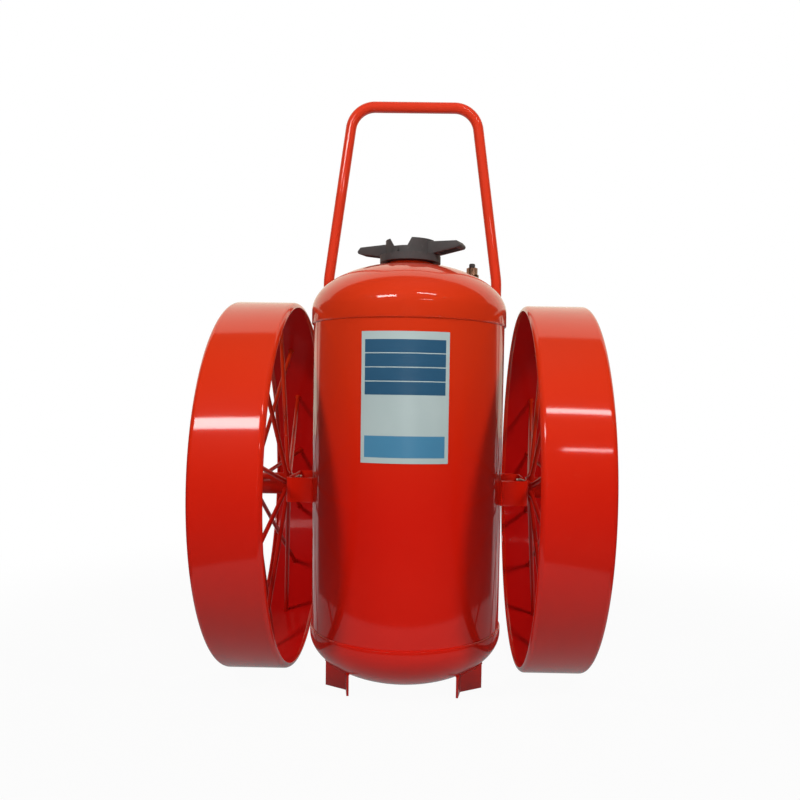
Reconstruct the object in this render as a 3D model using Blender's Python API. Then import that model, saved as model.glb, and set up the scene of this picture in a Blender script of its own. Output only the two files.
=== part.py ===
"""Wheeled dry-powder fire extinguisher on two steel-spoked wheels.

Metres, +Z up. The origin is on the floor under the middle of the axle line, +X is the right-hand
wheel and the front of the tank faces -Y. The pressure tank stands ahead of the axle, so that the
machine rests on its wheels and on two bent-plate feet under the front of the tank.
"""
import math

import bmesh
import bpy
from mathutils import Vector

# Clearances
GAP = 0.0003
RUNNING = 0.0005
THREAD_PLAY = 0.0012
MERGE = 0.000005

# Wheels
WHEEL_RADIUS = 0.5334
WHEEL_WIDTH = 0.180
WHEEL_TRACK = 0.834
BAND_THICKNESS = 0.0065
BAND_SHOULDER = 0.014
BAND_INSET = 0.004
SPOKE_DIAMETER = 0.0127
SPOKES_PER_HUB_END = 8
FIRST_INNER_SPOKE = math.radians(15.6)
FIRST_OUTER_SPOKE = math.radians(38.1)
SPOKE_INSET = 0.014
HUB_DIAMETER = 0.064
HUB_LENGTH = 0.134
BUSH_LENGTH = 0.045
BUSH_WALL = 0.004

# Axle stubs
AXLE_DIAMETER = 0.032
AXLE_HEAD_DIAMETER = 0.052
AXLE_HEAD_THICKNESS = 0.010
SPACER_DIAMETER = 0.048
SPACER_LENGTH = 0.011
WASHER_DIAMETER = 0.056
WASHER_THICKNESS = 0.003
NUT_ACROSS_FLATS = 0.046
NUT_THICKNESS = 0.009

# Pressure tank
TANK_RADIUS = 0.263
TANK_WALL = 0.005
TANK_FORWARD = 0.145
TANK_FLOOR_CLEARANCE = 0.010
TANK_STRAIGHT = 0.881
HEAD_DEPTH = 0.135
HEAD_WALL = 0.004
TOP_SKIRT = 0.032
BOTTOM_SKIRT = 0.014
LAP = 0.012

# Filling neck and cap
COLLAR_RADIUS = 0.0655
THREAD_RADIUS = 0.058
THREAD_WALL = 0.008
COLLAR_RISE = 0.0365
COLLAR_DROP = 0.018
GASKET_THICKNESS = 0.003
CAP_SKIRT_RADIUS = 0.0835
CAP_SKIRT_HEIGHT = 0.019
CAP_TOWER_RADIUS = 0.068
CAP_CROWN = 0.0264
CAP_OVERHANG = 0.033
CAP_FILLET = 0.004
CAP_TURN = math.radians(-24)
SLOT_WIDTH_TOP = 0.050
SLOT_WIDTH_BOTTOM = 0.040
SLOT_DEPTH = 0.021
SLOT_OFFSET = -0.024
WING_REACH = 0.155
WING_WIDTH = 0.046
WING_ROOT_HEIGHT = 0.036
WING_TIP_HEIGHT = 0.018
WING_SHELL = 0.006

# Feet: places beside and ahead of the tank's axis, as shares of its radius
FOOT_CORNER = (0.5806, 0.4030)
FOOT_OUTER_END = (0.8125, 0.2662)
FOOT_FRONT_TIP = (0.5532, 0.5760)
FOOT_PLATE = 0.006
FOOT_BEND = 0.010

# Axle brackets
BRACKET_HEIGHT = 0.070
BRACKET_PLATE = 0.006
BRACKET_FRONT = 0.165
BRACKET_BACK = 0.050
BRACKET_BEND = 0.012

# Push handle
HANDLE_TUBE = 0.032
HANDLE_WALL = 0.003
HANDLE_LEG_INSET = 0.009
HANDLE_TOP_HALF_WIDTH = 0.182
HANDLE_KNEE_HEIGHT = 1.150
HANDLE_HEIGHT = 1.678
HANDLE_BEND = 0.073
HANDLE_KNEE_BEND = 0.200
HANDLE_FOOT_DROP = 0.050
CLAMP_PLATE = 0.004
CLAMP_WIDTH = 0.040
CLAMP_FLANGE = 0.022

# Relief valve on the top head
RELIEF_INSET = 0.091
RELIEF_BEHIND = 0.030
RELIEF_BOSS_RADIUS = 0.019
RELIEF_BOSS_RISE = 0.012
RELIEF_HEX = 0.027
RELIEF_HEX_HEIGHT = 0.019
RELIEF_STEM_RADIUS = 0.0085
RELIEF_STEM_RISE = 0.012
RELIEF_STEM_DEPTH = 0.014

# Nitrogen cylinder and its carrier
CYLINDER_RADIUS = 0.090
CYLINDER_WALL = 0.006
CYLINDER_CLEARANCE = 0.012
CYLINDER_BASE = 0.220
CYLINDER_LENGTH = 0.720
CYLINDER_SHOULDER = 0.060
CYLINDER_NECK_RADIUS = 0.018
CYLINDER_NECK = 0.025
CYLINDER_NECK_BORE = 0.0095
SHELF_PLATE = 0.006
SHELF_HALF_WIDTH = 0.080
SHELF_LIP = 0.020
GUSSET_PLATE = 0.006
GUSSET_DEPTH = 0.090
GUSSET_SPREAD = 0.050
SADDLE_HEIGHT = 0.045
SADDLE_LEVEL = 0.560
SADDLE_HALF_WIDTH = 0.126
SADDLE_BACK = 0.058
STRAP_PLATE = 0.003

# Gas valve, regulator and gauge
VALVE_RADIUS = 0.019
VALVE_HEIGHT = 0.058
VALVE_STEM = 0.018
VALVE_TANG_THICKNESS = 0.010
VALVE_TANG_HEIGHT = 0.026
VALVE_TANG_WIDTH = 0.024
LEVER_PIN_RADIUS = 0.004
LEVER_PIN_RISE = 0.014
LEVER_CHEEK = 0.004
LEVER_REACH = 0.092
LEVER_DEPTH = 0.014
LEVER_FORK = 0.030
REGULATOR_RADIUS = 0.028
REGULATOR_COLLAR_RADIUS = 0.0224
REGULATOR_WAIST_RADIUS = 0.021
REGULATOR_NOSE_RADIUS = 0.0168
REGULATOR_LENGTH = 0.062
REGULATOR_NECK_RADIUS = 0.011
REGULATOR_NECK = 0.012
GAUGE_RADIUS = 0.028
GAUGE_DEPTH = 0.020
GAUGE_WALL = 0.0025
GAUGE_STEM_RADIUS = 0.007
GAUGE_STEM = 0.012
LENS_THICKNESS = 0.002
NEEDLE_LENGTH = 0.019
NEEDLE_TAIL = 0.0063
NEEDLE_THICKNESS = 0.0012
NEEDLE_STANDOFF = 0.0045
NEEDLE_REST = math.radians(45)

# Gas line, outlet and what the tank holds
LINE_RADIUS = 0.005
LINE_BEND = 0.020
LINE_STANDOFF = 0.030
PORT_SPREAD = 0.112
PORT_DROP = 0.110
PORT_BOSS_RADIUS = 0.020
PORT_BOSS_REACH = 0.030
PORT_BORE = 0.008
OUTLET_RADIUS = 0.019
OUTLET_WALL = 0.004
OUTLET_DROP = 0.060
OUTLET_BEND = 0.030
OUTLET_REACH = 0.036
SIPHON_RADIUS = 0.0165
SIPHON_WALL = 0.002
SIPHON_INSET = 0.120
SIPHON_BEND = 0.045
SIPHON_FLOOR_GAP = 0.020
POWDER_LEVEL = 0.800

# Facets
TANK_SEGMENTS = 36
BAND_SEGMENTS = 40
BAND_SHOULDER_STEPS = 1
CAP_SEGMENTS = 32
ROUND_SEGMENTS = 20
SMALL_SEGMENTS = 16
HUB_SEGMENTS = 28
SPOKE_SIDES = 8
HEAD_STEPS = 7
HEAD_INSIDE_STEPS = 3
GUIDE_STEPS = 40
BEND_STEPS = 5
PLATE_BEND_STEPS = 4
FILLET_STEPS = 2
KNEE_STEPS = 2
GRIP_STEPS = 7
CLAMP_STEPS = 12
STRAP_STEPS = 20
LEVER_STEPS = 8
SHOULDER_STEPS = 5
TUBE_FACETS = 3
LINE_FACETS = 2
NEEDLE_SIDES = 10

# Places that several pieces share
TANK_AXIS_Y = -TANK_FORWARD
BOTTOM_TANGENT = TANK_FLOOR_CLEARANCE + HEAD_DEPTH
TOP_TANGENT = BOTTOM_TANGENT + TANK_STRAIGHT
HEAD_RADIUS = TANK_RADIUS + GAP + HEAD_WALL
WHEEL_MID = WHEEL_TRACK / 2
HUB_INNER_FACE = WHEEL_MID - HUB_LENGTH / 2
HUB_OUTER_FACE = WHEEL_MID + HUB_LENGTH / 2
BRACKET_OUTER = HUB_INNER_FACE - SPACER_LENGTH - 2 * GAP
CYLINDER_Y = TANK_AXIS_Y + HEAD_RADIUS + CYLINDER_CLEARANCE + CYLINDER_RADIUS
HANDLE_Y = BRACKET_BACK + GAP + HANDLE_TUBE / 2
HANDLE_HALF_WIDTH = TANK_RADIUS - HANDLE_LEG_INSET
RELIEF_SIDE = TANK_RADIUS - RELIEF_INSET


def start_empty():
    """Remove whatever the file holds."""
    for item in list(bpy.data.objects):
        bpy.data.objects.remove(item, do_unlink=True)


def finish_material(name, colour, roughness, metallic):
    """A Principled material with one colour."""
    material = bpy.data.materials.new(name)
    material.use_nodes = True
    shader = material.node_tree.nodes["Principled BSDF"]
    shader.inputs["Base Color"].default_value = (*colour, 1.0)
    shader.inputs["Roughness"].default_value = roughness
    shader.inputs["Metallic"].default_value = metallic
    return material


def place(item, material=None, parent=None, at=(0, 0, 0), turn=(0, 0, 0)):
    """Link an object to the scene with its place, parent and finish."""
    bpy.context.scene.collection.objects.link(item)
    item.location = at
    item.rotation_euler = turn
    item.parent = parent
    if material:
        item.data.materials.append(material)
    return item


def pivot(name, at, turn=(0, 0, 0), parent=None):
    """An empty that stands on a joint's axis."""
    return place(bpy.data.objects.new(name, None), parent=parent, at=at, turn=turn)


def from_bmesh(name, shape, material, sharp=40, **where):
    """Close a bmesh, point its faces outwards and make it an object."""
    bmesh.ops.remove_doubles(shape, verts=shape.verts, dist=MERGE)
    bmesh.ops.dissolve_degenerate(shape, edges=shape.edges, dist=MERGE)
    bmesh.ops.recalc_face_normals(shape, faces=shape.faces)
    mesh = bpy.data.meshes.new(name)
    shape.to_mesh(mesh)
    shape.free()
    mesh.shade_smooth()
    mesh.set_sharp_from_angle(angle=math.radians(sharp))
    return place(bpy.data.objects.new(name, mesh), material, **where)


def turned(name, profile, material, segments=ROUND_SEGMENTS, **where):
    """Spin a (radius, height) profile about the object's own Z axis."""
    shape = bmesh.new()
    points = [shape.verts.new((radius, 0, height)) for radius, height in profile]
    edges = [shape.edges.new(pair) for pair in zip(points, points[1:])]
    on_axis = profile[0][0] == 0 and profile[-1][0] == 0
    if not on_axis:
        edges.append(shape.edges.new((points[-1], points[0])))
    bmesh.ops.spin(shape, geom=points + edges, cent=(0, 0, 0), axis=(0, 0, 1), dvec=(0, 0, 0),
                   angle=math.tau, steps=segments, use_merge=True)
    return from_bmesh(name, shape, material, **where)


def plate(name, outline, height, material, **where):
    """Extrude a flat outline along the object's own Z axis."""
    shape = bmesh.new()
    face = shape.faces.new([shape.verts.new((*point, 0)) for point in outline])
    grown = bmesh.ops.extrude_face_region(shape, geom=[face])
    moved = [part for part in grown["geom"] if isinstance(part, bmesh.types.BMVert)]
    bmesh.ops.translate(shape, verts=moved, vec=(0, 0, height))
    return from_bmesh(name, shape, material, **where)


def rod_mesh(shape, start, end, radius, sides):
    """Add a round rod between two points to a bmesh."""
    axis = Vector(end) - Vector(start)
    turn = axis.to_track_quat("Z", "Y").to_matrix().to_4x4()
    turn.translation = (Vector(start) + Vector(end)) / 2
    bmesh.ops.create_cone(shape, cap_ends=True, segments=sides, radius1=radius, radius2=radius,
                          depth=axis.length, matrix=turn)


def arc(centre, radii, start, end, steps):
    """Points of an elliptic arc, angles in degrees."""
    spread = [math.radians(start + (end - start) * step / steps) for step in range(steps + 1)]
    return [(centre[0] + radii[0] * math.cos(a), centre[1] + radii[1] * math.sin(a)) for a in spread]


def hexagon(across_flats):
    """Corners of a hexagon about its own centre."""
    corner = across_flats / 2 / math.cos(math.pi / 6)
    return arc((0, 0), (corner, corner), 0, 300, 5)


def rounded_path(points, radius, steps=BEND_STEPS):
    """Replace the inner corners of a path by arcs of one radius."""
    points = [Vector(point) for point in points]
    path = [points[0]]
    for before, corner, after in zip(points, points[1:], points[2:]):
        back = (before - corner).normalized()
        ahead = (after - corner).normalized()
        half = back.angle(ahead) / 2
        reach = radius / math.tan(half)
        centre = corner + (back + ahead).normalized() * radius / math.sin(half)
        first = corner + back * reach - centre
        last = corner + ahead * reach - centre
        sweep = first.angle(last)
        for step in range(steps + 1):
            share = step / steps
            blend = first * math.sin((1 - share) * sweep) + last * math.sin(share * sweep)
            path.append(centre + blend / math.sin(sweep))
    path.append(points[-1])
    return path


def strip_outline(path, thickness):
    """Outline of a bent plate seen on edge, half its thickness each side of a flat path."""
    path = [Vector(point) for point in path]
    left, right = [], []
    for index, point in enumerate(path):
        ahead = (path[min(index + 1, len(path) - 1)] - point).normalized()
        back = (point - path[max(index - 1, 0)]).normalized()
        along = (ahead + back).normalized()
        widen = 1 / max(along.dot(ahead), along.dot(back))
        side = Vector((-along.y, along.x)) * thickness / 2 * widen
        left.append(point + side)
        right.append(point - side)
    return left + right[::-1]


def pipe(name, path, radius, material, wall=None, sides=TUBE_FACETS, **where):
    """A round tube along a path, solid with caps or hollow with open ends."""
    curve = bpy.data.curves.new(name, "CURVE")
    curve.dimensions = "3D"
    curve.bevel_depth = radius
    curve.bevel_resolution = sides
    curve.use_fill_caps = wall is None
    spline = curve.splines.new("POLY")
    spline.points.add(len(path) - 1)
    for point, place_on_path in zip(spline.points, path):
        point.co = (*place_on_path, 1)
    item = place(bpy.data.objects.new(name, curve), material, **where)
    if wall is not None:
        shell = item.modifiers.new("wall", "SOLIDIFY")
        shell.thickness = wall
        shell.offset = -1
    return item


def combine(item, tool, operation="DIFFERENCE"):
    """Cut a guide solid out of an object, or join one to it."""
    tool.hide_render = True
    tool.display_type = "WIRE"
    change = item.modifiers.new(tool.name, "BOOLEAN")
    change.operation = operation
    change.solver = "EXACT"
    change.object = tool
    return item


def head_curve(radius, depth, tangent, upward, inner_radius=0.0, steps=HEAD_STEPS):
    """Half an ellipse from the skirt's tangent line to the crown, as (radius, height)."""
    crown = 90 if inner_radius == 0 else math.degrees(math.acos(inner_radius / radius))
    points = arc((0, tangent), (radius, upward * depth), 0, crown, steps)
    if inner_radius == 0:
        points[-1] = (0.0, points[-1][1])
    return points


def tank_clearance():
    """Guide solid a little larger than the whole tank, for pieces that are cut to its curve."""
    radius = HEAD_RADIUS + GAP
    depth = HEAD_DEPTH + GAP
    wall = TANK_RADIUS + GAP
    low = BOTTOM_TANGENT + BOTTOM_SKIRT + GAP
    high = TOP_TANGENT - TOP_SKIRT - GAP
    bottom = head_curve(radius, depth, BOTTOM_TANGENT, -1, steps=GUIDE_STEPS)
    top = head_curve(radius, depth, TOP_TANGENT, 1, steps=GUIDE_STEPS)
    seams = [(radius, low), (wall, low), (wall, high), (radius, high)]
    return turned("tank_clearance", bottom[::-1] + seams + top, None, TANK_SEGMENTS, at=(0, TANK_AXIS_Y, 0))


def drill(name, radius, start, end):
    """Guide rod that bores a round hole."""
    shape = bmesh.new()
    rod_mesh(shape, start, end, radius, SMALL_SEGMENTS)
    return from_bmesh(name, shape, None)


def make_tank(red):
    """Wall, two dished heads lapped over it, and the filling neck."""
    at = (0, TANK_AXIS_Y, 0)
    inner = TANK_RADIUS - TANK_WALL
    low = BOTTOM_TANGENT + BOTTOM_SKIRT - LAP
    high = TOP_TANGENT - TOP_SKIRT + LAP
    wall_profile = [(inner, low), (TANK_RADIUS, low), (TANK_RADIUS, high), (inner, high)]
    wall = turned("tank_wall", wall_profile, red, TANK_SEGMENTS, at=at)

    skirt_inner = HEAD_RADIUS - HEAD_WALL
    depth_inner = HEAD_DEPTH - HEAD_WALL
    rim = TOP_TANGENT - TOP_SKIRT
    hole = COLLAR_RADIUS + GAP
    outside = head_curve(HEAD_RADIUS, HEAD_DEPTH, TOP_TANGENT, 1, hole)
    inside = head_curve(skirt_inner, depth_inner, TOP_TANGENT, 1, hole, HEAD_INSIDE_STEPS)
    profile = [(HEAD_RADIUS, rim)] + outside + inside[::-1] + [(skirt_inner, rim)]
    turned("top_head", profile, red, TANK_SEGMENTS, at=at)

    rim = BOTTOM_TANGENT + BOTTOM_SKIRT
    outside = head_curve(HEAD_RADIUS, HEAD_DEPTH, BOTTOM_TANGENT, -1)
    inside = head_curve(skirt_inner, depth_inner, BOTTOM_TANGENT, -1, steps=HEAD_INSIDE_STEPS)
    profile = outside[::-1] + [(HEAD_RADIUS, rim), (skirt_inner, rim)] + inside
    turned("bottom_head", profile, red, TANK_SEGMENTS, at=at)

    bore = THREAD_RADIUS - THREAD_WALL
    foot = neck_seat() - COLLAR_DROP
    lip = neck_seat() + COLLAR_RISE
    shoulder = cap_ceiling() - CAP_OVERHANG - THREAD_PLAY
    profile = [(bore, foot), (COLLAR_RADIUS, foot), (COLLAR_RADIUS, shoulder), (THREAD_RADIUS, shoulder),
               (THREAD_RADIUS, lip), (bore, lip)]
    turned("neck_collar", profile, red, CAP_SEGMENTS, at=at)
    return wall


def head_height(distance):
    """Height of the top head's outer surface at a distance from the tank's axis."""
    return TOP_TANGENT + HEAD_DEPTH * math.sqrt(1 - (distance / HEAD_RADIUS) ** 2)


def neck_seat():
    """Height at which the filling neck leaves the top head."""
    return head_height(COLLAR_RADIUS)


def cap_ceiling():
    """Height of the cap's inner face, on its gasket on the lip of the neck."""
    return neck_seat() + COLLAR_RISE + 2 * GAP + GASKET_THICKNESS


def make_cap(black, rubber):
    """Winged screw cap with its gasket, turned as it stands when tight."""
    seat = pivot("cap_axis", (0, TANK_AXIS_Y, cap_ceiling()), (0, 0, CAP_TURN))
    bore = THREAD_RADIUS - THREAD_WALL
    ring("cap_gasket", bore, THREAD_RADIUS, -GAP - GASKET_THICKNESS, GASKET_THICKNESS, rubber, seat)

    cavity = THREAD_RADIUS + THREAD_PLAY
    shoulder = CAP_SKIRT_HEIGHT - CAP_OVERHANG
    profile = [(0, CAP_CROWN), (CAP_TOWER_RADIUS - CAP_FILLET, CAP_CROWN)]
    profile += arc((CAP_TOWER_RADIUS - CAP_FILLET, CAP_CROWN - CAP_FILLET), (CAP_FILLET, CAP_FILLET),
                   60, 0, FILLET_STEPS)
    profile += [(CAP_TOWER_RADIUS, shoulder), (CAP_SKIRT_RADIUS - CAP_FILLET, shoulder)]
    profile += arc((CAP_SKIRT_RADIUS - CAP_FILLET, shoulder - CAP_FILLET), (CAP_FILLET, CAP_FILLET),
                   60, 0, FILLET_STEPS)
    profile += [(CAP_SKIRT_RADIUS, -CAP_OVERHANG), (cavity, -CAP_OVERHANG), (cavity, 0), (0, 0)]
    cap = turned("fill_cap", profile, black, CAP_SEGMENTS, parent=seat)

    for side, name in ((1, "right"), (-1, "left")):
        combine(cap, wing(name, side, seat), "UNION")
    half_top = SLOT_WIDTH_TOP / 2
    half_bottom = SLOT_WIDTH_BOTTOM / 2
    slot = [(-half_bottom, -SLOT_DEPTH), (half_bottom, -SLOT_DEPTH), (half_top, GAP), (-half_top, GAP)]
    length = 2 * WING_REACH
    line = pivot("cap_slot_line", (0, 0, 0), (0, 0, -CAP_TURN), parent=seat)
    cutter = plate("cap_slot", slot, length, None, parent=line, at=(SLOT_OFFSET, length / 2, CAP_CROWN),
                   turn=(math.pi / 2, 0, 0))
    combine(cap, cutter)


def wing(name, side, seat):
    """One wing of the cap, tapering to its tip, as a channel that is open underneath."""
    root = (CAP_TOWER_RADIUS + THREAD_RADIUS + THREAD_PLAY) / 2
    base = -CAP_OVERHANG + CAP_SKIRT_HEIGHT - CAP_FILLET / 2
    length = WING_REACH - root
    tip_base = base + (WING_ROOT_HEIGHT - WING_TIP_HEIGHT) / 2
    outline = [(0, base), (length, tip_base), (length, tip_base + WING_TIP_HEIGHT),
               (0, base + WING_ROOT_HEIGHT)]
    turn = (math.pi / 2, 0, 0 if side > 0 else math.pi)
    at = (side * root, side * WING_WIDTH / 2, 0)
    body = plate(name + "_wing", outline, WING_WIDTH, None, parent=seat, at=at, turn=turn)
    start = CAP_SKIRT_RADIUS - root + WING_SHELL
    slope = (tip_base - base) / length
    low = base + slope * start - WING_SHELL
    end = length - WING_SHELL
    roof = tip_base + WING_TIP_HEIGHT - WING_SHELL
    hollow = [(start, low), (end, low), (end, roof), (start, roof)]
    at = (side * root, side * (WING_WIDTH / 2 - WING_SHELL), 0)
    pocket = plate(name + "_wing_pocket", hollow, WING_WIDTH - 2 * WING_SHELL, None, parent=seat,
                   at=at, turn=turn)
    return combine(body, pocket)


def make_feet(red, tank_guide):
    """Two bent plates under the front of the tank, cut to the bottom head."""
    for side, name in ((-1, "left"), (1, "right")):
        corners = [FOOT_OUTER_END, FOOT_CORNER, FOOT_FRONT_TIP]
        plan = [(side * TANK_RADIUS * out, TANK_AXIS_Y - TANK_RADIUS * ahead) for out, ahead in corners]
        path = rounded_path(plan, FOOT_BEND, PLATE_BEND_STEPS)
        outline = strip_outline(path, FOOT_PLATE)
        foot = plate(name + "_foot", outline, BOTTOM_TANGENT, red)
        combine(foot, tank_guide)


def make_wheel(side, name, red, bronze, steel, black):
    """Band, two spoked hub halves, bushes, and the axle stub with its washers and nut."""
    turn = (0, side * math.pi / 2, 0)
    axis = pivot(name + "_wheel_axis", (side * WHEEL_MID, 0, WHEEL_RADIUS), turn)
    turned(name + "_wheel_band", band_profile(), red, BAND_SEGMENTS, parent=axis)

    axle = AXLE_DIAMETER / 2
    bush = axle + RUNNING + BUSH_WALL
    bore = bush + GAP
    hub = HUB_DIAMETER / 2
    for outward, first, label in ((-1, FIRST_INNER_SPOKE, "inner"), (1, FIRST_OUTER_SPOKE, "outer")):
        end = outward * HUB_LENGTH / 2
        middle = outward * GAP / 2
        low, high = min(end, middle), max(end, middle)
        profile = [(bore, low), (hub, low), (hub, high), (bore, high)]
        spider = turned(f"{name}_{label}_spider", profile, red, HUB_SEGMENTS, parent=axis)
        combine(spider, spokes(f"{name}_{label}_spokes", side, outward, first, axis), "UNION")
        start = end - outward * GAP
        stop = start - outward * BUSH_LENGTH
        low, high = min(start, stop), max(start, stop)
        profile = [(axle + RUNNING, low), (bush, low), (bush, high), (axle + RUNNING, high)]
        turned(f"{name}_{label}_bush", profile, bronze, parent=axis)
    make_axle(side, name, steel, black)


def band_profile():
    """A wheel's flat rolled band, set in towards the tank, with its edges turned in over a shoulder."""
    flat = WHEEL_WIDTH / 2 - BAND_SHOULDER
    low, high = -flat - BAND_INSET, flat - BAND_INSET
    level = WHEEL_RADIUS - BAND_SHOULDER
    outer = BAND_SHOULDER
    inner = BAND_SHOULDER - BAND_THICKNESS
    profile = arc((level, low), (outer, -outer), 90, 0, BAND_SHOULDER_STEPS)
    profile += arc((level, high), (outer, outer), 0, 90, BAND_SHOULDER_STEPS)
    profile += arc((level, high), (inner, inner), 90, 0, BAND_SHOULDER_STEPS)
    return profile + arc((level, low), (inner, -inner), 0, 90, BAND_SHOULDER_STEPS)


def spokes(name, side, outward, first, axis):
    """Guide solid of the rods from one hub end out to the middle of the band."""
    band = (WHEEL_RADIUS - BAND_THICKNESS) * math.cos(math.pi / BAND_SEGMENTS)
    foot_radius = (HUB_DIAMETER / 2 + AXLE_DIAMETER / 2 + BUSH_WALL) / 2
    offset = outward * (HUB_LENGTH / 2 - SPOKE_INSET)
    tilt = math.atan2(abs(offset), band)
    reach = band - GAP - SPOKE_DIAMETER / 2 * math.sin(tilt) - (SPOKE_DIAMETER / 2) ** 2 / band
    shape = bmesh.new()
    for index in range(SPOKES_PER_HUB_END):
        angle = first + index * math.tau / SPOKES_PER_HUB_END
        along = Vector((-side * math.cos(angle), math.sin(angle), 0))
        start = along * foot_radius + Vector((0, 0, offset))
        rod_mesh(shape, start, along * reach, SPOKE_DIAMETER / 2, SPOKE_SIDES)
    return from_bmesh(name, shape, None, parent=axis)


def make_axle(side, name, steel, black):
    """Axle stub from its head inside the bracket out to the nut, along the wheel's axis."""
    turn = (0, side * math.pi / 2, 0)
    line = pivot(name + "_axle_line", (0, 0, WHEEL_RADIUS), turn)
    axle = AXLE_DIAMETER / 2
    clear = axle + GAP
    inner_face = BRACKET_OUTER - BRACKET_PLATE - GAP
    head = inner_face - AXLE_HEAD_THICKNESS
    washer = HUB_OUTER_FACE + GAP
    nut = washer + WASHER_THICKNESS + GAP
    tip = nut + NUT_THICKNESS
    profile = [(0, head), (AXLE_HEAD_DIAMETER / 2, head), (AXLE_HEAD_DIAMETER / 2, inner_face),
               (axle, inner_face), (axle, tip), (0, tip)]
    turned(name + "_axle", profile, steel, parent=line)
    spacer = BRACKET_OUTER + GAP
    ring(name + "_spacer", clear, SPACER_DIAMETER / 2, spacer, SPACER_LENGTH, black, line)
    ring(name + "_outer_washer", clear, WASHER_DIAMETER / 2, washer, WASHER_THICKNESS, steel, line)
    blank = plate(name + "_axle_nut", hexagon(NUT_ACROSS_FLATS), NUT_THICKNESS, steel, parent=line,
                  at=(0, 0, nut))
    hole = (side * (nut - GAP), 0, WHEEL_RADIUS), (side * (tip + GAP), 0, WHEEL_RADIUS)
    combine(blank, drill(name + "_nut_hole", clear + GAP, *hole))


def ring(name, bore, radius, start, length, material, parent):
    """A plain turned ring."""
    profile = [(bore, start), (radius, start), (radius, start + length), (bore, start + length)]
    return turned(name, profile, material, parent=parent)


def make_bracket(side, name, red, tank_guide):
    """U-shaped bent plate from the tank's side out to the axle, open above and below."""
    mid = BRACKET_PLATE / 2
    outer = side * (BRACKET_OUTER - mid)
    front = -BRACKET_FRONT + mid
    back = BRACKET_BACK - mid
    path = [(0, front), (outer, front), (outer, back), (0, back)]
    outline = strip_outline(rounded_path(path, BRACKET_BEND, PLATE_BEND_STEPS), BRACKET_PLATE)
    base = WHEEL_RADIUS - BRACKET_HEIGHT / 2
    bracket = plate(name + "_axle_bracket", outline, BRACKET_HEIGHT, red, at=(0, 0, base))
    far = side * (BRACKET_OUTER + 2 * BRACKET_PLATE)
    near = side * (BRACKET_OUTER - 2 * BRACKET_PLATE)
    ends = (near, 0, WHEEL_RADIUS), (far, 0, WHEEL_RADIUS)
    hole = drill(name + "_axle_hole", AXLE_DIAMETER / 2 + GAP, *ends)
    combine(bracket, tank_guide)
    combine(bracket, hole)


def make_handle(red, steel):
    """Bent push handle and the two clamps that hold its legs on the brackets."""
    top = HANDLE_HEIGHT - HANDLE_TUBE / 2
    foot = WHEEL_RADIUS - HANDLE_FOOT_DROP
    leg = HANDLE_HALF_WIDTH
    right = [(leg, foot), (leg, HANDLE_KNEE_HEIGHT), (HANDLE_TOP_HALF_WIDTH, top)]
    corners = right + [(-x, z) for x, z in right[::-1]]
    flat = [Vector((x, HANDLE_Y, z)) for x, z in corners]
    first_knee = rounded_path(flat[:3], HANDLE_KNEE_BEND, KNEE_STEPS)
    last_knee = rounded_path(flat[3:], HANDLE_KNEE_BEND, KNEE_STEPS)
    grip = rounded_path([first_knee[-2], flat[2], flat[3], last_knee[1]], HANDLE_BEND, GRIP_STEPS)
    path = first_knee[:-1] + grip[1:-1] + last_knee[1:]
    pipe("handle_tube", path, HANDLE_TUBE / 2, red, wall=HANDLE_WALL)

    bend = HANDLE_TUBE / 2 + GAP + CLAMP_PLATE / 2
    for side, name in ((-1, "left"), (1, "right")):
        base = BRACKET_BACK + GAP + CLAMP_PLATE / 2
        wide = bend + CLAMP_FLANGE
        hoop = arc((0, HANDLE_Y), (bend, bend), 0, 180, CLAMP_STEPS)
        path = [(wide, base), (bend, base)] + hoop + [(-bend, base), (-wide, base)]
        outline = strip_outline(path, CLAMP_PLATE)
        at = (side * HANDLE_HALF_WIDTH, 0, WHEEL_RADIUS - CLAMP_WIDTH / 2)
        plate(name + "_handle_clamp", outline, CLAMP_WIDTH, steel, at=at)


def make_relief(brass, black, tank_guide):
    """Relief valve: boss cut to the top head with a hexagon on it, and the pull stem."""
    at = (RELIEF_SIDE, TANK_AXIS_Y + RELIEF_BEHIND, 0)
    distance = math.hypot(RELIEF_SIDE, RELIEF_BEHIND)
    seat = head_height(distance) + RELIEF_BOSS_RISE
    low = head_height(distance + RELIEF_BOSS_RADIUS) - RELIEF_BOSS_RISE
    top = seat + RELIEF_HEX_HEIGHT
    below = seat - GAP
    flats = plate("relief_hexagon", hexagon(RELIEF_HEX), top - below, None, at=(at[0], at[1], below))
    profile = [(0, low), (RELIEF_BOSS_RADIUS, low), (RELIEF_BOSS_RADIUS, seat), (0, seat)]
    body = turned("relief_body", profile, brass, SMALL_SEGMENTS, at=at)
    combine(body, flats, "UNION")
    combine(body, tank_guide)
    bore = drill("relief_bore", RELIEF_STEM_RADIUS + RUNNING, (at[0], at[1], top - RELIEF_STEM_DEPTH),
                 (at[0], at[1], top + RELIEF_STEM_RISE))
    combine(body, bore)
    foot = top - RELIEF_STEM_DEPTH + GAP
    tip = top + RELIEF_STEM_RISE
    chamfer = RELIEF_STEM_RADIUS / 4
    knob = [(0, foot), (RELIEF_STEM_RADIUS, foot), (RELIEF_STEM_RADIUS, tip - chamfer),
            (RELIEF_STEM_RADIUS - chamfer, tip), (0, tip)]
    turned("relief_stem", [(radius, height - top) for radius, height in knob], black, SMALL_SEGMENTS,
           at=(at[0], at[1], top))


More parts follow.
